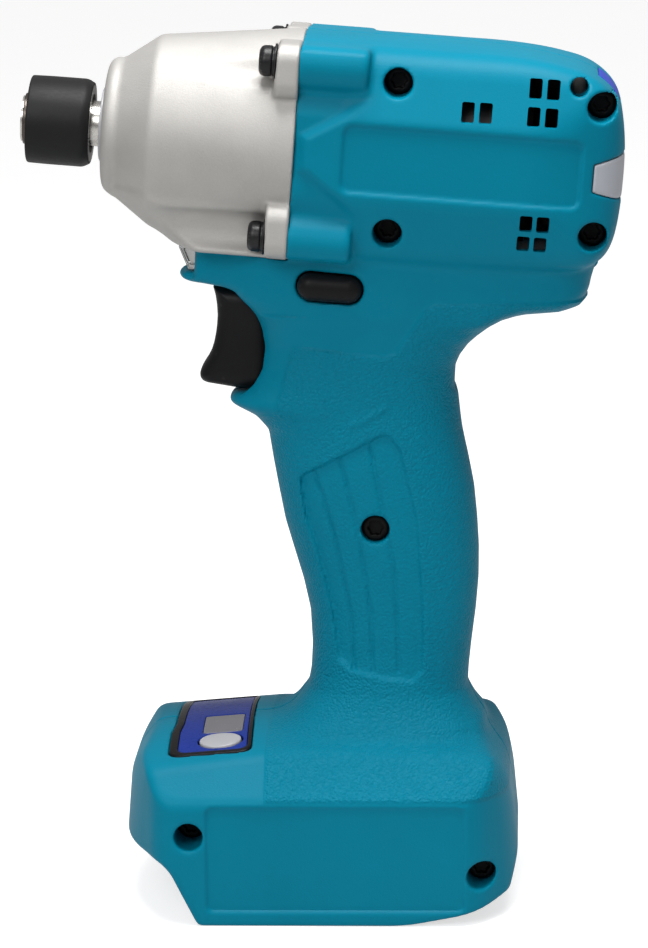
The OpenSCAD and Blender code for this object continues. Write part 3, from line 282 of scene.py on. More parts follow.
def outline(p, q, pts):
    """Signed distance to a closed outline."""
    ring = list(pts) + [pts[0]]
    inside = np.zeros(np.broadcast(p, q).shape, bool)
    for (x0, y0), (x1, y1) in zip(ring, ring[1:]):
        if y0 != y1:
            cross = x0 + (q - y0) * (x1 - x0) / (y1 - y0)
            inside ^= ((y0 > q) != (y1 > q)) & (p < cross)
    gap = line_gap(p, q, ring)
    return np.where(inside, -gap, gap)


def grid(lo, hi, step):
    """Three axes of a grid, shaped so that sums of them fill it."""
    axes = [np.arange(a, b + step, step, dtype=np.float32) for a, b in zip(lo, hi)]
    return axes[0][:, None, None], axes[1][None, :, None], axes[2][None, None, :]


CORNERS = [(i, j, k) for i in (0, 1) for j in (0, 1) for k in (0, 1)]
EDGES = [(a, b) for a in range(8) for b in range(a + 1, 8)
         if sum(abs(m - n) for m, n in zip(CORNERS[a], CORNERS[b])) == 1]


def skin(field, lo, step, passes=2):
    """Points and four-sided faces of the surface where the field is zero."""
    inside = field < 0
    nx, ny, nz = (n - 1 for n in field.shape)
    count = np.zeros((nx, ny, nz), np.int8)
    for i, j, k in CORNERS:
        count += inside[i:i + nx, j:j + ny, k:k + nz]
    active = (count > 0) & (count < 8)
    cells = np.argwhere(active)
    index = np.full(active.shape, -1, np.int64)
    index[active] = np.arange(len(cells))
    values = np.stack([field[tuple((cells + c).T)] for c in CORNERS], 1)
    total = np.zeros((len(cells), 3))
    hits = np.zeros((len(cells), 1))
    for a, b in EDGES:
        va, vb = values[:, a], values[:, b]
        crossed = ((va < 0) != (vb < 0))[:, None]
        t = (va / np.where(va == vb, 1, va - vb))[:, None]
        ca, cb = np.array(CORNERS[a]), np.array(CORNERS[b])
        total += np.where(crossed, ca + t * (cb - ca), 0)
        hits += crossed
    points = cells + total / hits
    faces = []
    for axis in range(3):
        one, two = [a for a in range(3) if a != axis]
        near = [slice(1, -1)] * 3
        near[axis] = slice(0, -1)
        far = list(near)
        far[axis] = slice(1, None)
        changed = np.argwhere(inside[tuple(near)] != inside[tuple(far)])
        changed[:, one] += 1
        changed[:, two] += 1
        step_one, step_two = np.eye(3, dtype=int)[one], np.eye(3, dtype=int)[two]
        around = [changed, changed - step_one, changed - step_one - step_two, changed - step_two]
        quad = np.stack([index[tuple(c.T)] for c in around], 1)
        outward = inside[tuple(changed.T)] ^ (axis == 1)
        quad[~outward] = quad[~outward][:, ::-1]
        faces.append(quad)
    faces = np.concatenate(faces)
    for _ in range(passes):
        for pull in (0.5, -0.52):
            points = points + pull * (neighbour_mean(points, faces) - points)
    return np.array(lo) + points * step, faces


def neighbour_mean(points, faces):
    """The middle of each point's neighbours along the edges."""
    near = np.concatenate([np.roll(faces, 1, 1).ravel(), np.roll(faces, -1, 1).ravel()])
    own = np.concatenate([faces.ravel(), faces.ravel()])
    n = np.bincount(own, minlength=len(points))
    sums = [np.bincount(own, points[near, c], len(points)) for c in range(3)]
    return np.stack(sums, 1) / np.maximum(n, 1)[:, None]


# Pieces


def quad_mesh(name, points, faces):
    """A mesh from arrays of points in millimetres and four-sided faces."""
    mesh = bpy.data.meshes.new(name)
    mesh.vertices.add(len(points))
    mesh.vertices.foreach_set("co", (points * MM).astype(np.float32).ravel())
    mesh.loops.add(faces.size)
    mesh.loops.foreach_set("vertex_index", faces.astype(np.int32).ravel())
    mesh.polygons.add(len(faces))
    mesh.polygons.foreach_set("loop_start", np.arange(0, faces.size, 4, dtype=np.int32))
    mesh.update(calc_edges=True)
    mesh.validate()
    return mesh


def add_object(name, data):
    thing = bpy.data.objects.new(name, data)
    bpy.context.scene.collection.objects.link(thing)
    return thing


def place(name, mesh, material, body, slot, *nodes):
    """Links a piece, gives it its finish, seats it on its body and lets it stand for its nodes."""
    piece = add_object(name, mesh)
    mesh.materials.clear()
    mesh.materials.append(material)
    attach(piece, body)
    if nodes:
        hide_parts(*nodes)
    return piece


def head_point(u, y, w):
    """A place in the head's own measures as a point of the frame."""
    return Vector((JOINT_X + u * math.cos(TILT) + w * math.sin(TILT), y,
                   JOINT_Z - u * math.sin(TILT) + w * math.cos(TILT)))


def head_matrix():
    """Takes the head's own measures, in metres, to the frame."""
    return Matrix.Translation(head_point(0, 0, 0) * MM) @ Matrix.Rotation(TILT, 4, "Y")


def shade(mesh, degrees=35):
    mesh.polygons.foreach_set("use_smooth", np.ones(len(mesh.polygons), bool))
    mesh.set_sharp_from_angle(angle=math.radians(degrees))


# Housing


def head_measures(x, z):
    return turned_by(x, z, (JOINT_X, JOINT_Z), TILT)


def head_field(u, a, w):
    chevron = np.maximum(CHEVRON_U - u, prism(u, w, CHEVRON))
    valley = VALLEY * ramp(chevron, -0.3, 2.6) * (1 - ramp(u, *VALLEY_END))
    side = a - HEAD_HW + valley
    upper = facet(side, w - UPPER_FACET[0], UPPER_FACET[1])
    lower = facet(side, -w - LOWER_FACET[0], LOWER_FACET[1])
    shell = smax(smax(side, upper, 0.3), lower, 0.6)
    shell = blended([shell] + leans(u, a, HEAD_PLAN), 1.6)
    shell = shell + RECESS_DEPTH * (1 - ramp(round_box(u, w, *RECESS), -0.35, 0.4))
    high = w + (CROWN_FALL - CROWN_EASE * ramp(u, 40, 64)) * a * a
    crown = blended([high - CROWN_W] + leans(u, high, CROWN), 2)
    belly = blended([-w - BELLY_W] + leans(u, w, BELLY), 3)
    back = blended(leans(u, w, HEAD_BACK), 3)
    return smax(smax(smax(shell, crown, 5), belly, 6), back, 2.4)


def boss_field(u, a, w):
    bosses = []
    for up, end in BOSS_ENDS:
        round_part = np.hypot(a - BOSS_AT, w - up) - BOSS_R
        bosses.append(smax(smax(round_part, np.abs(w) - BOSS_TOP, 2), u - end, 1.8))
    return np.minimum(*bosses)


# Outlines of the grip, in X and Z: its panel with the grooves in it, the chin and lip under the nose, the open space
# behind the web, a fold, and the stretch that is grained
PANEL = [(-6.0, 106.6), (-4.6, 108.2), (14.3, 118.2), (16.3, 117.6), (18.8, 114.0), (22.6, 97.0), (23.9, 73.5),
         (23.5, 58.6), (21.3, 56.2), (13.8, 57.0), (6.3, 58.8), (2.9, 61.6), (1.5, 73.5), (-2.0, 88.9),
         (-4.7, 97.1)]
PANEL_DEPTH = 0.85
GROOVES = [
    [(-2.3, 108.8), (2.2, 94.0), (6.0, 73.5), (6.8, 59.1)],
    [(4.2, 111.8), (8.2, 94.0), (11.0, 73.5), (11.5, 58.6)],
    [(11.4, 115.3), (14.2, 99.1), (17.0, 83.8), (17.8, 58.6)],
]
GROOVE_DEPTH = 0.55
CHIN = [(-30.5, 164.0), (-31.1, 157.0), (-31.6, 154.7), (-26.2, 153.6), (-20.9, 152.8), (-17.4, 150.6),
        (-12.0, 150.6), (-12.0, 164.0)]
CHIN_HW = 11.5
LIP = [(-29.0, 156.2), (-32.4, 156.3), (-33.4, 157.0), (-34.7, 156.6), (-35.3, 155.8), (-34.8, 154.9),
       (-33.5, 154.4), (-31.5, 154.1), (-29.0, 153.9)]
LIP_HW = 8
LIP_BOW = 0.03
WEB = [(32.1, 127.0), (32.3, 132.2), (33.1, 134.8), (35.0, 137.2), (37.3, 139.5), (40.1, 141.6), (43.2, 143.4),
       (46.8, 144.5), (49.0, 144.9), (57.1, 145.3), (62.2, 146.7), (64.2, 148.3), (66.0, 150.0), (90.0, 150.0),
       (90.0, 120.0), (45.0, 120.0)]
WEB_FROM = 30
WEB_HEIGHTS = (118, 158)
WEB_RISE = 0.21
FOLD = [(7.0, 120.4), (10.5, 121.9), (13.4, 123.6), (15.1, 124.6)]
FOLD_H = 0.4
GRAIN_LINE = [(-7.0, 139.7), (15.6, 137.3), (17.9, 138.2), (24.9, 148.9), (27.7, 150.5), (80.0, 150.2),
              (80.0, 31.4), (-14.3, 31.4), (-14.3, 50.0), (-30.0, 60.0), (-30.0, 119.0), (-12.0, 122.5)]
HOLD_H = 0.35
GRIP_NOSE = ((-33, 10), 109.4)
GRIP_NOSE_Z = 147
# Steps of the grid over which the grip's rows are softened
GRIP_SOFTEN = 7


def grip_field(x, a, z):
    rows = [np.interp(z, GRIP_ROWS[:, 0], GRIP_ROWS[:, n]).astype(np.float32) for n in range(1, 5)]
    soften = np.hanning(GRIP_SOFTEN)
    soften = soften / soften.sum()
    front, rear, hw, e = [np.convolve(np.pad(r.ravel(), GRIP_SOFTEN // 2, mode="edge"), soften, "valid")
                          [None, None, :] for r in rows]
    mid = (front + rear) * 0.5
    half = (rear - front) * 0.5
    across = (np.abs(x - mid) / half) ** e
    out = (np.abs(a) / hw) ** e
    field = ((across + out) ** (1 / e) - 1) * hw
    field = np.where(z > GRIP_NOSE_Z, smax(field, lean(x, a, *GRIP_NOSE), 5), field)
    cut = PANEL_DEPTH * (1 - ramp(outline(x, z, PANEL), -0.5, 0.3))
    for groove in GROOVES:
        cut = cut + GROOVE_DEPTH * (1 - ramp(line_gap(x, z, groove), 0.1, 0.7))
    ends = np.maximum(z - GRIP_ROWS[-1, 0], GRIP_ROWS[0, 0] - z)
    return np.maximum(field + cut.astype(np.float32), ends)


def base_field(x, a, z):
    panel = SIDE_PANEL_DEPTH * (1 - ramp(round_box(x, z, *SIDE_PANEL), -0.35, 0.3))
    side = a - BASE_HW + DRAFT * np.maximum(DRAFT_Z - z, 0) + panel
    front = blended(leans(x, z, BASE_FRONT), 1.6)
    rear = blended(leans(x, z, BASE_REAR), 1.6)
    roof = z - np.minimum(ROOF_Z + ROOF_RISE * (x - ROOF_X), ROOF_TOP)
    roof = roof + ROOF_FALL * np.maximum(x - ROOF_FALL_X, 0) ** 2 + a * a * 0.5 / CROWN_R
    plan = smax(blended([side, front, rear], 6), blended(leans(x, a, BASE_CORNERS), 1), 5)
    return smax(plan, smax(roof, lean(a, z, *SHOULDER), 1.4), 1.4)


def lens_field(u, w):
    return prism(u, w, [((LENS_U, 0), 180), ((LENS_U, LENS_W + LENS_HALF), LENS_FLARE),
                        ((LENS_U, LENS_W - LENS_HALF), -LENS_FLARE)])


def cap_field(u, w):
    return np.maximum(np.maximum(CAP_SPAN[0] - u, u - CAP_SPAN[1]), -w)


def display_measures(x, z):
    return turned_by(x, z, (DISP_X, DISP_Z), -DISP_TILT)


def display_outline(inset):
    return [(p * (DISP_LEN - 2 * inset), q * (DISP_HW - inset)) for p, q in DISP_SHARES]


def soft_outline(p, q, inset, r):
    return outline(p, q, display_outline(inset + r)) - r


STEP = 0.5
HOUSE_LO = (-54.0, -1.0, -1.5)
HOUSE_HI = (80.5, 38.5, 217.5)
SPLIT = 0.04


def trim_outside(body, x, a, z, u, w):
    """The joined forms with the web, the chin, the case's seat, the heel and the notch for the battery."""
    far = np.searchsorted(x.ravel(), WEB_FROM)
    low, top = np.searchsorted(z.ravel(), WEB_HEIGHTS)
    under = outline(x[far:], z[:, :, low:top] - WEB_RISE * a, WEB)
    body[far:, :, low:top] = smax(body[far:, :, low:top], -under, 2.5)
    # The grained hold stands a little proud along its upper edge and over the fold below it
    hold = (1 - ramp(outline(x, z, GRAIN_LINE), -0.3, 0.3)) * ramp(z, 112, 130) * ramp(x, -7, 0)
    fold = 1 - ramp(line_gap(x, z, FOLD), 0.1, 1.1)
    body = body - HOLD_H * hold - FOLD_H * fold
    body = smin(body, smax(outline(x, z, CHIN) + 0 * a, a - CHIN_HW, 4), 2.5)
    body = np.maximum(body, np.minimum(-u, w + HEAD_HW))
    body = smax(body, blended([-z] + leans(x, z, HEEL), 0.8), 0.8)
    return smax(body, -blended(leans(x, z, NOTCH), 5), 1.2)


def hollow_out(body, head, bosses, base, x, a, z, u, w):
    """Room behind the case, for the switch and for the battery, with walls left round the screws."""
    keep = bosses
    for su, sw in HEAD_SCREWS:
        keep = np.minimum(keep, np.hypot(u - su, w - sw) - HOLE_R - SCREW_WALL)
    body = np.maximum(body, -np.maximum(np.maximum(head + WALL, u - HOLLOW_END), -keep))
    x0, x1, hw, z0, z1 = SWITCH
    size = ((x1 - x0) * 0.5 + SWITCH_GAP, (z1 - z0) * 0.5 + SWITCH_GAP)
    room = np.maximum(round_box(x, z, ((x0 + x1) * 0.5, (z0 + z1) * 0.5), size, 0.2), a - hw - SWITCH_GAP)
    body = np.maximum(body, -room)
    bay = np.maximum(base + WALL, z - np.where(np.abs(x - BAY_MID) < BAY_HALF, *BAY_TOPS))
    for sx, sz in BASE_SCREWS:
        bay = np.maximum(bay, HOLE_R + SCREW_WALL - np.hypot(x - sx, z - sz))
    return smax(body, -bay, 0.6)


def cut_openings(body, x, a, z):
    """Openings for the trigger, the lever and the lamp, and the lip below the lamp."""
    trigger_top = TRIGGER_Z + TRIGGER_H + TRIGGER_RISE + GAP
    heights = np.maximum(z - trigger_top, TRIGGER_Z - GAP - z)
    mouth = np.maximum(np.maximum(x - SWITCH[0], heights), a - TRIGGER_HW - GAP)
    body = smax(body, -mouth, 0.8)
    half = LEVER_H * 0.5 + GAP
    slot = round_box(*turned_by(x, z, LEVER, TILT), (0, 0), (LEVER_LEN * 0.5 + GAP, half), half)
    body = smax(body, -slot, 0.9)
    rear, floor, hw = LAMP_ROOM
    body = np.maximum(body, -np.maximum(np.maximum(x - rear, floor - z), a - hw))
    return smin(body, smax(outline(x - LIP_BOW * a * a, z, LIP), a - LIP_HW, 2), 0.8)


def cut_seats(body, head, x, a, z, u, w):
    """Seats of the hanger, the lens and the cap in the head, and the tab under its rear."""
    body = smax(body, HANGER_R - np.hypot(u - HANGER[0], w - HANGER[1]), 0.5)
    body = smax(body, -(lens_field(u, w) - TRIM_GAP), 0.4)
    cap = np.maximum(np.maximum(cap_field(u, w), a - CAP_HW - TRIM_GAP), -(head + CAP_T))
    body = np.maximum(body, -cap)
    return smin(body, smax(np.hypot(x - TAB[0], z - TAB[1]) - TAB_R, a - TAB_HW, 0.5), 0.6)


def cut_screw_holes(body, x, a, z, u, w):
    holes = [(np.hypot(u - su, w - sw), HEAD_SCREW_DEPTH) for su, sw in HEAD_SCREWS]
    holes += [(np.hypot(x - GRIP_SCREW[0], z - GRIP_SCREW[1]), GRIP_SCREW_DEPTH)]
    holes += [(np.hypot(x - sx, z - sz), BASE_SCREW_DEPTH) for sx, sz in BASE_SCREWS]
    for r, depth in holes:
        body = smax(body, -np.maximum(r - HOLE_R, depth - a), 0.7)
    return body


def cut_display_seat(body, y, x, z):
    dx, dz = display_measures(x, z)
    seat = soft_outline(dx, y, -0.1, DISP_ROUND)
    room = outline(dx, y, display_outline(FRAME_IN))
    pocket = np.minimum(np.maximum(seat, -DISP_SEAT - dz), np.maximum(room, -DISP_ROOM - dz))
    return smax(body, -np.maximum(pocket, dz - DISP_CLEAR), 0.5)


def housing_fields():
    """Fields of the left and the right half, each over one half of the tool."""
    x, a, z = grid(HOUSE_LO, HOUSE_HI, STEP)
    u, w = head_measures(x, z)
    head, bosses, base = head_field(u, a, w), boss_field(u, a, w), base_field(x, a, z)
    body = smin(smin(smin(head, bosses, 1.8), grip_field(x, a, z), 1.6), base, 4.5)
    body = trim_outside(body, x, a, z, u, w)
    body = hollow_out(body, head, bosses, base, x, a, z, u, w)
    body = cut_openings(body, x, a, z)
    body = cut_seats(body, head, x, a, z, u, w)
    body = np.maximum(body, SPLIT - a)
    left = cut_screw_holes(body, x, a, z, u, w)
    return [cut_display_seat(left, -a, x, z), cut_display_seat(body, a, x, z)]


# Vents of the head: their width, depth, distance from the middle and corner round, and the middle and height of each
VENT = 3.0
VENT_DEPTH = 16
VENT_AT = 26
VENT_ROUND = 0.5
VENTS = [(40.3, 12.9, 4.9), (44.5, 13.0, 4.9), (55.8, 19.4, 4.8), (60.0, 19.4, 4.8), (55.8, 13.0, 4.6),
         (60.0, 13.0, 4.6), (56.0, -12.3, 3.9), (60.0, -12.3, 3.9), (55.7, -17.3, 3.6), (59.7, -17.3, 3.6)]


def vent_cutters(side):
    bm = bmesh.new()
    for u, w, height in VENTS:
        size = Vector((VENT, VENT_DEPTH, height)) * MM
        at = Matrix.Translation(Vector((u, side * VENT_AT, w)) * MM) @ Matrix.Diagonal(size).to_4x4()
        cube = bmesh.ops.create_cube(bm, size=1, matrix=at)
        upright = [e for v in cube["verts"] for e in v.link_edges if abs(e.verts[0].co.y - e.verts[1].co.y) > 0.01]
        bmesh.ops.bevel(bm, geom=list(set(upright)), offset=VENT_ROUND * MM, segments=3, profile=0.5, affect="EDGES")
    bm.transform(head_matrix())
    mesh = bpy.data.meshes.new("vent_cutters")
    bm.to_mesh(mesh)
    bm.free()
    return add_object("vent_cutters", mesh)


def cut_by(mesh, cutter):
    """The mesh with the cutter's shape taken away."""
    holder = add_object("holder", mesh)
    cut = holder.modifiers.new("cut", "BOOLEAN")
    cut.operation = "DIFFERENCE"
    cut.solver = "MANIFOLD"
    cut.object = cutter
    graph = bpy.context.evaluated_depsgraph_get()
    out = bpy.data.meshes.new_from_object(holder.evaluated_get(graph))
    bpy.data.objects.remove(holder)
    bpy.data.objects.remove(cutter)
    return out


def add_grain_mask(mesh):
    co = np.zeros(len(mesh.vertices) * 3, np.float32)
    mesh.vertices.foreach_get("co", co)
    co = co.reshape(-1, 3) / MM
    mask = 1 - ramp(outline(co[:, 0], co[:, 2], GRAIN_LINE), -0.6, 0.6)
    mask = mask * (0.6 + 0.4 * ramp(outline(co[:, 0], co[:, 2], PANEL), -0.8, 0.8))
    mesh.attributes.new("grain", "FLOAT", "POINT").data.foreach_set("value", mask.astype(np.float32))


def make_housing(finish):
    halves = housing_fields()
    for field, side, node in zip(halves, (-1, 1), ("housing_left", "housing_right")):
        points, faces = skin(field, HOUSE_LO, STEP)
        points[:, 1] *= side
        if side < 0:
            faces = faces[:, ::-1]
        mesh = cut_by(quad_mesh(node + "_shell", points, faces), vent_cutters(side))
        shade(mesh, 40)
        add_grain_mask(mesh)
        place(node + "_shell", mesh, finish, "tool", "teal_plastic", node)


def field_piece(name, field, lo, step, finish, body, slot, nodes, matrix=None, passes=2):
    """A piece skinned from a field, whose grid may lie in the head's or the display's own measures."""
    points, faces = skin(field, lo, step, passes)
    mesh = quad_mesh(name, points, faces)
    if matrix is not None:
        mesh.transform(matrix)
    shade(mesh, 40)
    return place(name, mesh, finish, body, slot, *nodes)


def make_rear_trim(lens_finish, cap_finish):
    """The lens band and the coloured cap, let into the head's rear."""
    lo, hi, step = (62.0, -28.0, -9.0), (80.0, 28.0, 29.0), 0.4
    u, y, w = grid(lo, hi, step)
    a = np.abs(y)
    head = head_field(u, a, w)
    lens = blended([head + TRIM_SINK, lens_field(u, w) + 0 * a, -(head + WALL)], 0.4)
    field_piece("status_lens_band", lens, lo, step, lens_finish, "tool", "clear_plastic", ["status_lens"],
                head_matrix())
    cap = blended([head + TRIM_SINK, cap_field(u, w) + 0 * a, a - CAP_HW + 0 * u, -(head + CAP_T - 0.1)], 0.4)
    field_piece("rear_cap_plate", cap, lo, step, cap_finish, "tool", "blue_film", ["rear_cap"], head_matrix())


# Housing screws: the length of a head, and its six-lobed socket
HEAD_T = 5.6
SOCKET_R = 1.75
SOCKET_LOBE = 0.22
SOCKET_DEPTH = 1.5


def make_housing_screws(finish):
    """Socket heads in the deep holes of the left half."""
    lo, hi, step = (-4.0, -6.4, -4.0), (4.0, 0.6, 4.0), 0.2
    p, t, q = grid(lo, hi, step)
    r = np.hypot(p, q)
    head = smax(smax(r - HOLE_R + 0.2, t + 0 * r, 0.9), -HEAD_T - t, 0.2)
    lobes = r - SOCKET_R - SOCKET_LOBE * np.cos(6 * np.arctan2(q, p))
    head = smax(head, -np.maximum(lobes, -SOCKET_DEPTH - t), 0.2)
    points, faces = skin(head, lo, step, 1)
    points[:, 1] *= -1
    faces = faces[:, ::-1]
    seats = [head_point(u, -a, w) for (u, w), a in zip(HEAD_SCREWS, HEAD_SCREW_TOPS)]
    lower_tops = (GRIP_SCREW_TOP, BASE_SCREW_TOP, BASE_SCREW_TOP)
    seats += [Vector((x, -a, z)) for (x, z), a in zip([GRIP_SCREW] + BASE_SCREWS, lower_tops)]
    all_faces = np.concatenate([faces + k * len(points) for k in range(len(seats))])
    mesh = quad_mesh("housing_screw_heads", np.concatenate([points + np.array(at) for at in seats]), all_faces)
    shade(mesh, 45)
    place("housing_screw_heads", mesh, finish, "tool", "black_steel", "housing_screws")


def make_hanger(finish):
    lo, hi, step = (62.0, -18.6, 17.0), (70.0, 18.6, 24.8), 0.2
    u, y, w = grid(lo, hi, step)
    r = np.hypot(u - HANGER[0], w - HANGER[1])
    tube = np.maximum(np.maximum(r - HANGER_R - HANGER_WALL, HANGER_R - r) + 0 * y, np.abs(y) - HANGER_HW)
    field_piece("hanger_tube_liner", tube, lo, step, finish, "tool", "teal_plastic", ["hanger_tube"], head_matrix(), 1)


# Hammer case and bit holder

RING_R = 16.6
CASE_LEN = 47.0
CONE_U = -43.4
CONE_DEG = 36.0
BARREL = (22.8, 27.0)
BARREL_U = -35.0
FLANGE_T = 5.6
RING_ROUND = 2.6
PAD = ((0, -20.6), (20.5, 6.2), 4.5)
LUG = ((18.9, 19.2), (8.5, 6.5), 4)
SCOOP_R = 5.4
SCREW_BORE_R = 2.1
# Bores of the case: their radius, and for two of them where they start
CAVITY = (20.1, -34.6)
BUSH_BORE = (8, -46.7)
NOSE_BORE_R = 6.6
# Screws of the case, and the outer radius, middle and half-thickness of the two washers under each
CASE_SCREW_R = 3.7
CASE_SCREW_TOP = -9.8
CASE_SCREW_SEAT = -6.65
CASE_SHANK_R = 1.75
KEY_FLATS = 3
KEY_U = -8
WASHER_BORE_R = 2
SPRING_WASHER = (3.5, -6.4, 0.26)
FLAT_WASHER = (4.3, -5.87, 0.27)


def make_case(finish):
    lo, hi, step = (-50.0, -28.6, -28.6), (0.6, 28.6, 28.6), 0.4
    u, y, w = grid(lo, hi, step)
    a = np.abs(y)
    r = np.hypot(y, w)
    cone = lean(u, r, (CONE_U, RING_R), 90 + CONE_DEG)
    taper = (BARREL[1] - BARREL[0]) / -BARREL_U
    barrel = (r - BARREL[1] - taper * u) / math.hypot(1, taper)
    ring = rounded(r - RING_R, -CASE_LEN - u, RING_ROUND)
    behind = CONE_U - u
    shape = smin(ring, np.maximum(smax(cone, barrel, 0.5), behind), 0.6)
    pad = np.maximum(smax(round_box(a, w, *PAD), cone, 1), behind)
    shape = smin(shape, pad, 3)
    lug = round_box(a, np.abs(w), *LUG)
    shape = smin(shape, smax(lug, -FLANGE_T - u, 0.9), 1.5)
    at_screw = np.hypot(a - BOSS_AT, np.abs(w) - BOSS_AT)
    scoop = smax(at_screw - SCOOP_R, u + FLANGE_T, 1.2)
    shape = smax(shape, -scoop, 1.4)
    shape = smax(shape, u + 0 * r, 0.4)
    cavity = np.maximum(r - CAVITY[0], CAVITY[1] - u)
    bush = np.maximum(r - BUSH_BORE[0], BUSH_BORE[1] - u)
    nose = np.maximum(r - NOSE_BORE_R, u - 1)
    shape = np.maximum(shape, -np.minimum(cavity, np.minimum(bush, nose)))
    shape = np.maximum(shape, SCREW_BORE_R - at_screw)
    field_piece("hammer_case_casting", shape, lo, step, finish, "tool", "cast_alu", ["hammer_case"], head_matrix(), 1)


def four_corners(points, faces):
    """Copies of one small piece at the four corner bosses."""
    all_points, all_faces = [], []
    for sy in (-1, 1):
        for sw in (-1, 1):
            all_faces.append(faces + sum(len(p) for p in all_points))
            all_points.append(points + np.array((0, sy * BOSS_AT, sw * BOSS_AT)))
    return np.concatenate(all_points), np.concatenate(all_faces)


def hexagon(p, q, flats):
    c, s = math.cos(math.radians(60)), math.sin(math.radians(60))
    return np.maximum(np.abs(q), np.maximum(np.abs(p * s + q * c), np.abs(p * s - q * c))) - flats * 0.5


def washer(u, r, size, edge):
    outer, at, half = size
    return smax(smax(r - outer, np.abs(u - at) - half, edge), WASHER_BORE_R - r, 0.1)


def make_case_screws(finish):
    lo, hi, step = (-10.4, -4.8, -4.8), (-5.0, 4.8, 4.8), 0.16
    u, y, w = grid(lo, hi, step)
    r = np.hypot(y, w)
    head = rounded(r - CASE_SCREW_R, CASE_SCREW_TOP - u, 1.5)
    head = rounded(head, u - CASE_SCREW_SEAT + 0 * r, 0.4)
    head = smax(head, -np.maximum(hexagon(y, w, KEY_FLATS), u - KEY_U), 0.25)
    shank = np.maximum(r - CASE_SHANK_R, np.maximum(u + 5.4, -7 - u))
    screw = np.minimum(head, shank)
    split = np.maximum(np.abs(y + 0.5 * (u - SPRING_WASHER[1])) - 0.25, -w)
    spring = np.maximum(washer(u, r, SPRING_WASHER, 0.2), -split)
    flat = washer(u, r, FLAT_WASHER, 0.25)
    for name, field, node in (("case_screw_heads", screw, "case_screws"),
                              ("case_washer_stacks", np.minimum(spring, flat), "case_washers")):
        points, faces = four_corners(*skin(field, lo, step, 1))
        mesh = quad_mesh(name, points, faces)
        mesh.transform(head_matrix())
        shade(mesh, 45)
        place(name, mesh, finish, "tool", "black_steel", node)


def fillet(points, r, steps=5):
    """An outline with its corners rounded, each by r or by what its sides allow."""
    out = []
    n = len(points)
    for i in range(n):
        p, a, b = (Vector(points[k % n]) for k in (i, i - 1, i + 1))
        da, db = (a - p), (b - p)
        reach = min(r, da.length * 0.45, db.length * 0.45)
        start, end = p + da.normalized() * reach, p + db.normalized() * reach
        for k in range(steps + 1):
            t = k / steps
            out.append(start * (1 - t) ** 2 + p * 2 * t * (1 - t) + end * t ** 2)
    return out


def lathe(name, outline_points, r, finish, body, slot, nodes, n=96):
    """A turned ring about the head's axis, from an outline of places along it and radii."""
    ring = fillet(outline_points, r)
    m = len(ring)
    points, faces = [], []
    for k in range(n):
        t = 2 * math.pi * k / n
        points += [(p.x, p.y * math.cos(t), p.y * math.sin(t)) for p in ring]
        faces += [(k * m + i, k * m + (i + 1) % m, ((k + 1) % n) * m + (i + 1) % m, ((k + 1) % n) * m + i)
                  for i in range(m)]
    mesh = quad_mesh(name, np.array(points), np.array(faces)[:, ::-1])
    bm = bmesh.new()
    bm.from_mesh(mesh)
    bmesh.ops.recalc_face_normals(bm, faces=bm.faces)
    bm.to_mesh(mesh)
    bm.free()
    mesh.transform(head_matrix())
    shade(mesh, 50)
    return place(name, mesh, finish, body, slot, *nodes)


# The bit sleeve's two ends, and the ends and radii of the two rings
SLEEVE = (-65.7, -50.4)
SLEEVE_WASHER = ((-48.1, -47.2), (5.6, 9.0))
STOP_RING = ((-66.9, -65.45), (4.95, 6.2))
SLEEVE_R = 10.7
CORE_R = 9.3


def hoop(ends, radii):
    return [(ends[0], radii[0]), (ends[0], radii[1]), (ends[1], radii[1]), (ends[1], radii[0])]


def make_bit_holder(rubber, pale, ring_steel):
    u0, u1 = SLEEVE
    lathe("sleeve_cover_grip", [(u0, CORE_R), (u0, SLEEVE_R - 0.1), (u0 + 5, SLEEVE_R), (u1 - 1.6, SLEEVE_R),
                                (u1, SLEEVE_R - 0.9), (u1, CORE_R)], 0.9, rubber, "sleeve", "black_rubber",
          ["sleeve_cover"])
    lathe("sleeve_washer_ring", hoop(*SLEEVE_WASHER), 0.3, pale, "anvil", "pale_plastic", ["sleeve_washer"])
    lathe("stop_ring_wire", hoop(*STOP_RING), 0.3, ring_steel, "anvil", "black_steel", ["stop_ring"])


# Trigger, lever and lamp

# The trigger's outline from its top down its front to its heel
TRIGGER_FRONT = [(-27.0, 152.7), (-26.4, 150.4), (-26.1, 148.0), (-26.0, 145.4), (-26.2, 143.0), (-26.5, 141.0),
                 (-27.0, 138.7), (-27.7, 136.6), (-28.6, 134.8), (-29.6, 133.3), (-30.3, 132.1), (-30.6, 131.0),
                 (-30.5, 130.0), (-29.9, 129.2), (-28.8, 128.7), (-27.0, 128.4), (-20.9, 127.4)]
STEM_LEN = 17.0
STEM_R = 2.98
SPRING_POCKET = (3, 5.2)


def make_trigger(finish):
    lo, hi, step = (-31.4, -8.2, 126.0), (5.0, 8.2, 154.4), 0.3
    x, y, z = grid(lo, hi, step)
    a = np.abs(y)
    side = outline(x, z, TRIGGER_FRONT + [(TRIGGER_X, TRIGGER_Z + 0.4), (TRIGGER_X, TRIGGER_Z + TRIGGER_H + 1.7)])
    cheeks = a - TRIGGER_HW + 0.05 * np.maximum(TRIGGER_X - 6 - x, 0)
    blade = smax(side + 0 * a, cheeks, 4.5)
    r = np.hypot(y, z - TRIGGER_Z - TRIGGER_H * 0.5)
    pocket = np.maximum(np.maximum(r - SPRING_POCKET[1], SPRING_POCKET[0] - r), TRIGGER_X - 4 - x)
    blade = np.maximum(blade, -pocket)
    stem = np.maximum(r - STEM_R, np.maximum(TRIGGER_X - 5 - x, x - TRIGGER_X - STEM_LEN))
    field_piece("trigger_blade", np.minimum(blade, stem), lo, step, finish, "trigger", "black_plastic", ["trigger"])


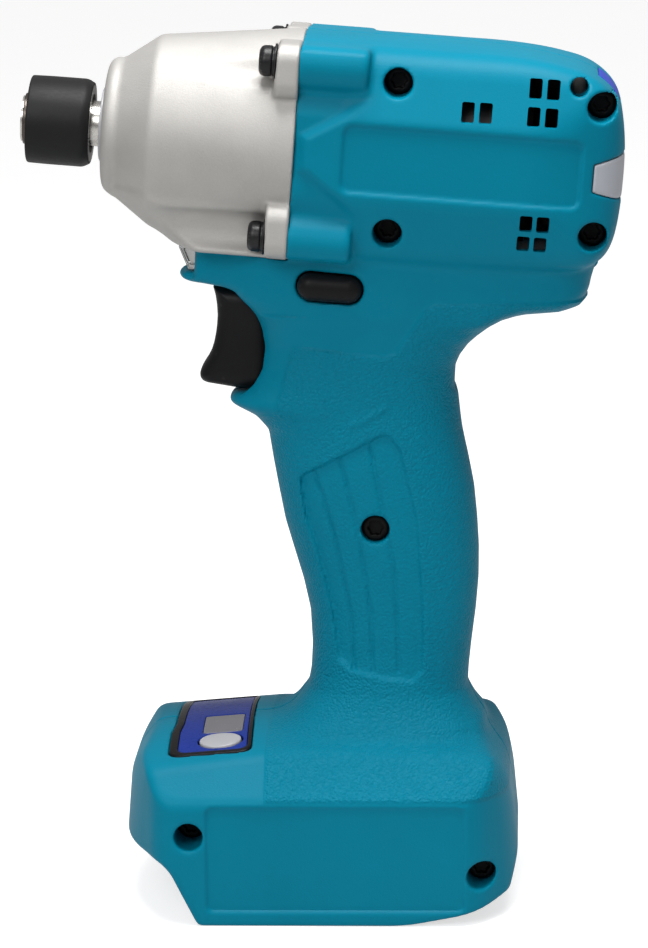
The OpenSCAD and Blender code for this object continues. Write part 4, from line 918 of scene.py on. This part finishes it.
def make_lever(finish):
    lo, hi, step = (-6.8, -22.4, 149.4), (11.2, 22.4, 159.6), 0.3
    x, y, z = grid(lo, hi, step)
    a = np.abs(y)
    lu, lw = turned_by(x, z, LEVER, TILT)
    bar = round_box(lu, lw, (0, 0), (LEVER_LEN * 0.5, LEVER_H * 0.5), LEVER_H * 0.5)
    field_piece("reversing_lever_bar", smax(bar + 0 * a, a - LEVER_HW, 3.6), lo, step, finish, "lever",
                "black_plastic", ["reversing_lever"])


# The lamp's lens: rear, foot, height and half-width
LAMP = (-30.7, 157.2, 5.7, 6.0)


def make_lamp(clear):
    lo, hi, step = (-36.4, -7.6, 155.8), (-30.2, 7.6, 163.0), 0.22
    x, y, z = grid(lo, hi, step)
    x0, z0, h, hw = LAMP
    side = outline(x, z, [(x0, z0), (x0 - 0.36 * h, z0), (x0 - 0.76 * h, z0 + h), (x0, z0 + h)])
    field_piece("lamp_lens_prism", smax(side + 0 * y, np.abs(y) - hw + 0 * x, 0.5), lo, step, clear, "tool",
                "clear_plastic", ["lamp_lens"])


# Springs, each with the joint that presses it and the body that holds its far end

SPRINGS = [("hammer_spring", "hammer_retract", "spindle"), ("sleeve_spring", "sleeve_pull", "anvil"),
           ("trigger_spring", "trigger_pull", "tool")]


def make_springs(finish):
    for node_name, joint_name, body in SPRINGS:
        coil = frame["nodes"][node_name].data.copy()
        shade(coil)
        piece = place(node_name + "_coil", coil, finish, body, "steel", node_name)
        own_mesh(piece)


# Display

FRAME_TOP = 0.5
# Window and button: middle and half-sizes in the display's own measures
WINDOW = (2.6, -7.6, 4.9, 6.0)
BUTTON = (2.3, -18.2, 5.2, 3.7)


def display_matrix():
    at = Vector((DISP_X, 0, DISP_Z)) * MM
    return Matrix.Translation(at) @ Matrix.Rotation(-DISP_TILT, 4, "Y")


def make_display(black, film, smoke, pale):
    lo, hi, step = (-11.0, -25.8, -7.0), (11.0, 25.8, 2.2), 0.22
    x, y, z = grid(lo, hi, step)
    crown = np.hypot(y, z + CROWN_R) - CROWN_R
    rim = soft_outline(x, y, 0, DISP_ROUND)
    well = soft_outline(x - 0.5, y, FRAME_IN, 2.2)
    frame_ring = smax(smax(rim, -well, 0.01) + 0 * z, crown - FRAME_TOP, 0.5)
    frame_ring = np.maximum(frame_ring, -2.7 - crown)
    window = round_box(x, y, WINDOW[:2], WINDOW[2:], 0.8)
    oval = (np.hypot((x - BUTTON[0]) / BUTTON[2], (y - BUTTON[1]) / BUTTON[3]) - 1) * BUTTON[3]
    sheet = np.maximum(well + 0.1, np.maximum(0.1 - window, 0.35 - oval))
    sheet = np.maximum(sheet + 0 * z, np.maximum(crown - 0.2, -1.1 - crown))
    glass = np.maximum(window + 0 * z, np.maximum(crown - 0.14, -1.0 - crown))
    button = smax(oval + 0 * z, crown - 0.55 + 0.006 * (y - BUTTON[1]) ** 2, 0.5)
    button = np.maximum(button, -1.6 - crown)
    for name, field, finish, body, slot, node in (
            ("display_frame_rim", frame_ring, black, "tool", "black_plastic", "display_frame"),
            ("display_panel_film", sheet, film, "tool", "blue_film", "display_panel"),
            ("display_window_glass", glass, smoke, "tool", "smoke_film", "display_window"),
            ("lamp_button_cap", button, pale, "button", "pale_plastic", "lamp_button")):
        field_piece(name, field, lo, step, finish, body, slot, [node], display_matrix(), 1)


# Finishes


def new_group(name, ins, outs):
    """A group of shader nodes. Its inputs, given with their values, and its outputs are all numbers."""
    tree = bpy.data.node_groups.new(name, "ShaderNodeTree")
    for label, value in ins.items():
        tree.interface.new_socket(label, in_out="INPUT", socket_type="NodeSocketFloat").default_value = value
    for label in outs:
        tree.interface.new_socket(label, in_out="OUTPUT", socket_type="NodeSocketFloat")
    return tree, tree.nodes.new("NodeGroupInput"), tree.nodes.new("NodeGroupOutput")


def set_inputs(n, **values):
    """Sets a shader node's inputs by their labels, with underscores for spaces."""
    for key, value in values.items():
        n.inputs[key.replace("_", " ")].default_value = value


def node(tree, kind, **settings):
    """A shader node. Settings name its properties or its inputs."""
    n = tree.nodes.new(kind)
    for key, value in settings.items():
        if hasattr(n, key):
            setattr(n, key, value)
        else:
            set_inputs(n, **{key: value})
    return n


def math_node(tree, operation, a, b=None, clamp=False):
    n = tree.nodes.new("ShaderNodeMath")
    n.operation = operation
    n.use_clamp = clamp
    for i, v in enumerate((a, b)):
        if v is None:
            continue
        if isinstance(v, (int, float)):
            n.inputs[i].default_value = v
        else:
            tree.links.new(v, n.inputs[i])
    return n.outputs[0]


def speckle_group():
    """Fine unevenness of a surface: a height for bumps and a tone that drifts over larger patches."""
    tree, ins, outs = new_group("speckle", {"Scale": 900.0, "Drift": 40.0}, ["Height", "Tone"])
    where = node(tree, "ShaderNodeTexCoord")
    fine = node(tree, "ShaderNodeTexNoise", Detail=4.0, Roughness=0.6)
    wide = node(tree, "ShaderNodeTexNoise", Detail=3.0, Roughness=0.55)
    for n, label in ((fine, "Scale"), (wide, "Drift")):
        tree.links.new(where.outputs["Object"], n.inputs["Vector"])
        tree.links.new(ins.outputs[label], n.inputs["Scale"])
    tree.links.new(fine.outputs["Fac"], outs.inputs["Height"])
    tree.links.new(wide.outputs["Fac"], outs.inputs["Tone"])
    return tree


def pebble_group():
    """Moulded leather-like grain: rounded pebbles of uneven size."""
    tree, ins, outs = new_group("pebble", {"Scale": 1300.0}, ["Height"])
    where = node(tree, "ShaderNodeTexCoord")
    bend = node(tree, "ShaderNodeTexNoise", Scale=700.0, Detail=2.0)
    cells = node(tree, "ShaderNodeTexVoronoi", feature="SMOOTH_F1", Smoothness=0.35)
    mix = node(tree, "ShaderNodeVectorMath", operation="MULTIPLY_ADD")
    mix.inputs[1].default_value = (0.0006, 0.0006, 0.0006)
    tree.links.new(where.outputs["Object"], bend.inputs["Vector"])
    tree.links.new(bend.outputs["Color"], mix.inputs[0])
    tree.links.new(where.outputs["Object"], mix.inputs[2])
    tree.links.new(mix.outputs[0], cells.inputs["Vector"])
    tree.links.new(ins.outputs["Scale"], cells.inputs["Scale"])
    tree.links.new(math_node(tree, "SUBTRACT", 1.0, cells.outputs["Distance"]), outs.inputs["Height"])
    return tree


def wear_and_sheen_group():
    """Raised edges, broken up by patches: worn by handling on the black and steel pieces, a painted highlight on the
    teal housing.
    """
    tree, ins, outs = new_group("wear_and_sheen", {"Low": 0.52, "High": 0.62}, ["Mask"])
    where = node(tree, "ShaderNodeTexCoord")
    shape = node(tree, "ShaderNodeNewGeometry")
    patch = node(tree, "ShaderNodeTexNoise", Scale=160.0, Detail=5.0)
    span = node(tree, "ShaderNodeMapRange")
    tree.links.new(where.outputs["Object"], patch.inputs["Vector"])
    tree.links.new(shape.outputs["Pointiness"], span.inputs["Value"])
    tree.links.new(ins.outputs["Low"], span.inputs["From Min"])
    tree.links.new(ins.outputs["High"], span.inputs["From Max"])
    tree.links.new(math_node(tree, "MULTIPLY", span.outputs["Result"], patch.outputs["Fac"], True),
                   outs.inputs["Mask"])
    return tree


SPECKLE = speckle_group()
PEBBLE = pebble_group()
WEAR_AND_SHEEN = wear_and_sheen_group()


def finish_base(name):
    mat = bpy.data.materials.new(name)
    mat.use_nodes = True
    tree = mat.node_tree
    return mat, tree, tree.nodes["Principled BSDF"]


def put_group(tree, group, **values):
    n = tree.nodes.new("ShaderNodeGroup")
    n.node_tree = group
    set_inputs(n, **values)
    return n


def mix_colour(tree, fac, a, b):
    n = tree.nodes.new("ShaderNodeMix")
    n.data_type = "RGBA"
    tree.links.new(fac, n.inputs["Factor"])
    for sock, v in ((n.inputs["A"], a), (n.inputs["B"], b)):
        if isinstance(v, tuple):
            sock.default_value = v + (1.0,)
        else:
            tree.links.new(v, sock)
    return n.outputs["Result"]


def span_node(tree, value, lo, hi, a=0.0, b=1.0):
    n = node(tree, "ShaderNodeMapRange")
    tree.links.new(value, n.inputs["Value"])
    set_inputs(n, From_Min=a, From_Max=b, To_Min=lo, To_Max=hi)
    return n.outputs["Result"]


def bump(tree, bsdf, height, strength, distance):
    n = node(tree, "ShaderNodeBump", Strength=strength, Distance=distance)
    tree.links.new(height, n.inputs["Height"])
    tree.links.new(n.outputs["Normal"], bsdf.inputs["Normal"])


def finish(name, colour, shade_colour, rough, metal=0.0, scale=900.0, drift=40.0, depth=0.00003, strength=0.3,
           worn=None, coat=0.0, **extra):
    """A plain finish with fine unevenness, drifting tone and rubbed edges."""
    mat, tree, bsdf = finish_base(name)
    fine = put_group(tree, SPECKLE, Scale=scale, Drift=drift)
    tone = span_node(tree, fine.outputs["Tone"], 0.0, 1.0, 0.35, 0.65)
    base = mix_colour(tree, tone, shade_colour, colour)
    if worn:
        wear_and_sheen = put_group(tree, WEAR_AND_SHEEN)
        base = mix_colour(tree, wear_and_sheen.outputs["Mask"], base, worn)
    tree.links.new(base, bsdf.inputs["Base Color"])
    tree.links.new(span_node(tree, fine.outputs["Height"], rough - 0.06, rough + 0.06, 0.3, 0.7),
                   bsdf.inputs["Roughness"])
    set_inputs(bsdf, Metallic=metal, Coat_Weight=coat, **extra)
    bump(tree, bsdf, fine.outputs["Height"], strength, depth)
    return mat


def teal_finish():
    """Moulded housing: satin where it is smooth, pebbled where the hand holds it."""
    mat, tree, bsdf = finish_base("teal_moulded")
    fine = put_group(tree, SPECKLE, Scale=2200.0, Drift=30.0)
    pebbles = put_group(tree, PEBBLE, Scale=1600.0)
    wear_and_sheen = put_group(tree, WEAR_AND_SHEEN, Low=0.53, High=0.66)
    grain = node(tree, "ShaderNodeAttribute", attribute_name="grain")
    tone = span_node(tree, fine.outputs["Tone"], 0.0, 1.0, 0.35, 0.65)
    base = mix_colour(tree, tone, (0.0, 0.168, 0.258), (0.0, 0.18, 0.275))
    # The raised edges are tinted a lighter teal: a painted highlight along the edges, not wear
    base = mix_colour(tree, wear_and_sheen.outputs["Mask"], base, (0.0, 0.205, 0.31))
    tree.links.new(base, bsdf.inputs["Base Color"])
    set_inputs(bsdf, Specular_IOR_Level=0.07)
    rough = span_node(tree, grain.outputs["Fac"], 0.41, 0.46)
    tree.links.new(rough, bsdf.inputs["Roughness"])
    coarse = math_node(tree, "MULTIPLY", pebbles.outputs["Height"], grain.outputs["Fac"])
    slight = math_node(tree, "MULTIPLY", fine.outputs["Height"], 0.18)
    edge = math_node(tree, "MULTIPLY", grain.outputs["Fac"], 0.7)
    height = math_node(tree, "ADD", math_node(tree, "ADD", coarse, slight), edge)
    bump(tree, bsdf, height, 0.85, 0.00034)
    return mat


def clear_finish(name, tint, rough, clear):
    mat, tree, bsdf = finish_base(name)
    fine = put_group(tree, SPECKLE, Scale=500.0, Drift=60.0)
    set_inputs(bsdf, Base_Color=tint + (1.0,), Transmission_Weight=clear, IOR=1.49)
    tree.links.new(span_node(tree, fine.outputs["Height"], rough, rough + 0.1, 0.3, 0.7), bsdf.inputs["Roughness"])
    bump(tree, bsdf, fine.outputs["Height"], 0.1, 0.00003)
    return mat


TEAL = teal_finish()
ALU = finish("die_cast_bare", (0.46, 0.449, 0.43), (0.42, 0.409, 0.392), 0.66, metal=0.7, scale=2600.0, drift=70.0,
             depth=0.00012, strength=0.5)
# Housing screw heads: a black darker than their black oxide, as painted shade of the deep holes they sit in
HOLE_SHADE_BLACK = finish("painted_hole_shade_black", (0.004, 0.004, 0.004), (0.003, 0.003, 0.003), 0.45, Specular_IOR_Level=0.12)
OXIDE = finish("black_oxide", (0.008, 0.008, 0.009), (0.005, 0.005, 0.006), 0.36, worn=(0.05, 0.05, 0.05),
               Specular_IOR_Level=0.3)
STEEL = finish("ground_steel", (0.62, 0.6, 0.57), (0.52, 0.5, 0.47), 0.26, metal=1.0, scale=1500.0)
HARD = finish("hardened_steel", (0.25, 0.24, 0.23), (0.17, 0.165, 0.16), 0.34, metal=1.0, worn=(0.5, 0.49, 0.47))
BLACK = finish("black_satin", (0.008, 0.008, 0.0085), (0.006, 0.006, 0.0065), 0.42, scale=1800.0, strength=0.4,
               worn=(0.025, 0.025, 0.026), Specular_IOR_Level=0.12)
GLOSS = finish("black_gloss", (0.008, 0.008, 0.009), (0.006, 0.006, 0.007), 0.24, scale=1200.0, strength=0.15,
               Specular_IOR_Level=0.1)
RUBBER = finish("black_rubber", (0.009, 0.009, 0.009), (0.007, 0.007, 0.007), 0.5, scale=1600.0, strength=0.5,
                worn=(0.03, 0.03, 0.03), Specular_IOR_Level=0.18)
PALE = finish("pale_plastic", (0.37, 0.37, 0.39), (0.34, 0.34, 0.36), 0.36, scale=1500.0)
BLUE = finish("blue_film", (0.01, 0.03, 0.23), (0.008, 0.025, 0.2), 0.3, scale=700.0, strength=0.03,
              Specular_IOR_Level=0.1)
CAP_BLUE = finish("blue_cap", (0.003, 0.035, 0.42), (0.003, 0.03, 0.37), 0.35, scale=1400.0, Specular_IOR_Level=0.2)
SMOKE = finish("smoke_window", (0.14, 0.135, 0.15), (0.12, 0.116, 0.13), 0.22, scale=600.0, strength=0.08, coat=0.4)
TIP = finish("tip_steel", (0.1, 0.085, 0.075), (0.075, 0.064, 0.056), 0.34, metal=1.0, scale=1500.0)
BRONZE = finish("sintered_bronze", (0.45, 0.28, 0.12), (0.36, 0.21, 0.09), 0.45, metal=1.0)
COPPER = finish("enamelled_copper", (0.5, 0.2, 0.07), (0.4, 0.15, 0.05), 0.35, metal=1.0, coat=0.4)
LAMINATE = finish("stacked_laminations", (0.12, 0.115, 0.12), (0.08, 0.078, 0.08), 0.5, metal=0.8)
BOARD = finish("coated_board", (0.008, 0.11, 0.045), (0.006, 0.08, 0.033), 0.4)
LENS = clear_finish("milky_lens", (0.5, 0.52, 0.57), 0.3, 0.25)
CLEAR = clear_finish("clear_lens", (0.9, 0.9, 0.9), 0.04, 1.0)
BY_SLOT = {"teal_plastic": TEAL, "cast_alu": ALU, "black_steel": OXIDE, "steel": STEEL, "dark_steel": HARD,
           "black_plastic": BLACK, "black_rubber": RUBBER, "pale_plastic": PALE, "clear_plastic": CLEAR,
           "blue_film": BLUE, "smoke_film": SMOKE, "bronze": BRONZE, "copper": COPPER, "laminations": LAMINATE,
           "board": BOARD}


def dress_nodes():
    """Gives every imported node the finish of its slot."""
    for part in frame["record"]["subparts"]:
        mesh = frame["nodes"][part["node"]].data
        mesh.materials.clear()
        mesh.materials.append(BY_SLOT[part["material_slot"]])


# Stage, light and camera

# The camera: where it looks, its turn, height and roll in degrees, its distance, the photograph's scale in pixels
# to a millimetre and its longer side in pixels
AIM = (-0.7, 0.0, 104.9)
AZIMUTH = 3.0
ELEVATION = 12.5
ROLL = 0.8
DISTANCE = 1004.0
SCALE_PX = 4.055
LONG_SIDE = 948
SENSOR = 36.0

# Lights, in metres: place, aim, size, and power in watts
KEY_LIGHT = ((-0.35, -0.95, 0.75), (0, 0, 0.1), (0.6, 0.45), 5.6)
TOP_LIGHT = ((0.04, -0.1, 0.8), (0, 0, 0.19), (0.4, 0.3), 6.6)
# The room's light from the horizon to overhead, and the glow of backdrop and floor as the camera sees them
ROOM_LIGHT = (0.3, 0.5)
BACKDROP_GLOW = 0.7
FLOOR_GLOW = 0.66
FLOOR_HALF_M = 6
FLOOR_DROP = 0.05


def make_camera():
    cam = bpy.data.cameras.new("photo_camera")
    cam.sensor_width = SENSOR
    cam.lens = SCALE_PX * DISTANCE / LONG_SIDE * SENSOR
    cam.clip_end = 20
    rig = add_object("photo_camera", cam)
    a, e, r = (math.radians(v) for v in (AZIMUTH, ELEVATION, ROLL))
    back = Vector((math.sin(a) * math.cos(e), -math.cos(a) * math.cos(e), math.sin(e)))
    level = Vector((math.cos(a), math.sin(a), 0))
    above = back.cross(level)
    right = level * math.cos(r) - above * math.sin(r)
    up = above * math.cos(r) + level * math.sin(r)
    turn = Matrix((right, up, back)).transposed().to_4x4()
    rig.matrix_world = Matrix.Translation((Vector(AIM) + back * DISTANCE) * MM) @ turn
    bpy.context.scene.camera = rig


def area_light(name, at, to, size, power):
    lamp = bpy.data.lights.new(name, "AREA")
    lamp.shape = "RECTANGLE"
    lamp.size, lamp.size_y = size
    lamp.energy = power
    rig = add_object(name, lamp)
    rig.location = at
    rig.rotation_euler = (Vector(at) - Vector(to)).to_track_quat("Z", "Y").to_euler()


def floor_finish():
    """A pale floor that looks evenly lit to its far edge."""
    mat = finish("pale_floor", (0.6, 0.6, 0.6), (0.59, 0.59, 0.59), 0.8, scale=60.0, strength=0.0)
    tree = mat.node_tree
    bsdf = tree.nodes["Principled BSDF"]
    path = node(tree, "ShaderNodeLightPath")
    set_inputs(bsdf, Emission_Color=(1.0, 1.0, 1.0, 1.0))
    tree.links.new(math_node(tree, "MULTIPLY", path.outputs["Is Camera Ray"], FLOOR_GLOW),
                   bsdf.inputs["Emission Strength"])
    return mat


def make_stage():
    bm = bmesh.new()
    under = Matrix.Translation((0, 0, -FLOOR_DROP * MM))
    bmesh.ops.create_grid(bm, x_segments=1, y_segments=1, size=FLOOR_HALF_M, matrix=under)
    mesh = bpy.data.meshes.new("floor")
    bm.to_mesh(mesh)
    bm.free()
    mesh.materials.append(floor_finish())
    floor = add_object("floor", mesh)
    bpy.context.scene.view_settings.view_transform = "Standard"
    world = bpy.data.worlds.new("studio")
    bpy.context.scene.world = world
    world.use_nodes = True
    # The room is bright overhead and dimmer towards the horizon, behind a pale backdrop
    tree = world.node_tree
    where = node(tree, "ShaderNodeTexCoord")
    parts = node(tree, "ShaderNodeSeparateXYZ")
    tree.links.new(where.outputs["Generated"], parts.inputs[0])
    set_inputs(tree.nodes["Background"], Color=(1.0, 1.0, 1.0, 1.0))
    strength = span_node(tree, parts.outputs["Z"], *ROOM_LIGHT)
    path = node(tree, "ShaderNodeLightPath")
    backdrop = math_node(tree, "MULTIPLY", path.outputs["Is Camera Ray"], BACKDROP_GLOW)
    tree.links.new(math_node(tree, "ADD", strength, backdrop), tree.nodes["Background"].inputs["Strength"])
    area_light("key_light", *KEY_LIGHT)
    area_light("top_light", *TOP_LIGHT)


dress_nodes()
make_housing(TEAL)
make_rear_trim(LENS, CAP_BLUE)
# The housing screw heads take the darkened black: painted shade of their holes
make_housing_screws(HOLE_SHADE_BLACK)
make_hanger(TEAL)
make_case(ALU)
make_case_screws(OXIDE)
make_bit_holder(RUBBER, PALE, TIP)
make_trigger(BLACK)
make_lever(BLACK)
make_lamp(CLEAR)
make_springs(STEEL)
make_display(GLOSS, BLUE, SMOKE, PALE)
make_camera()
make_stage()
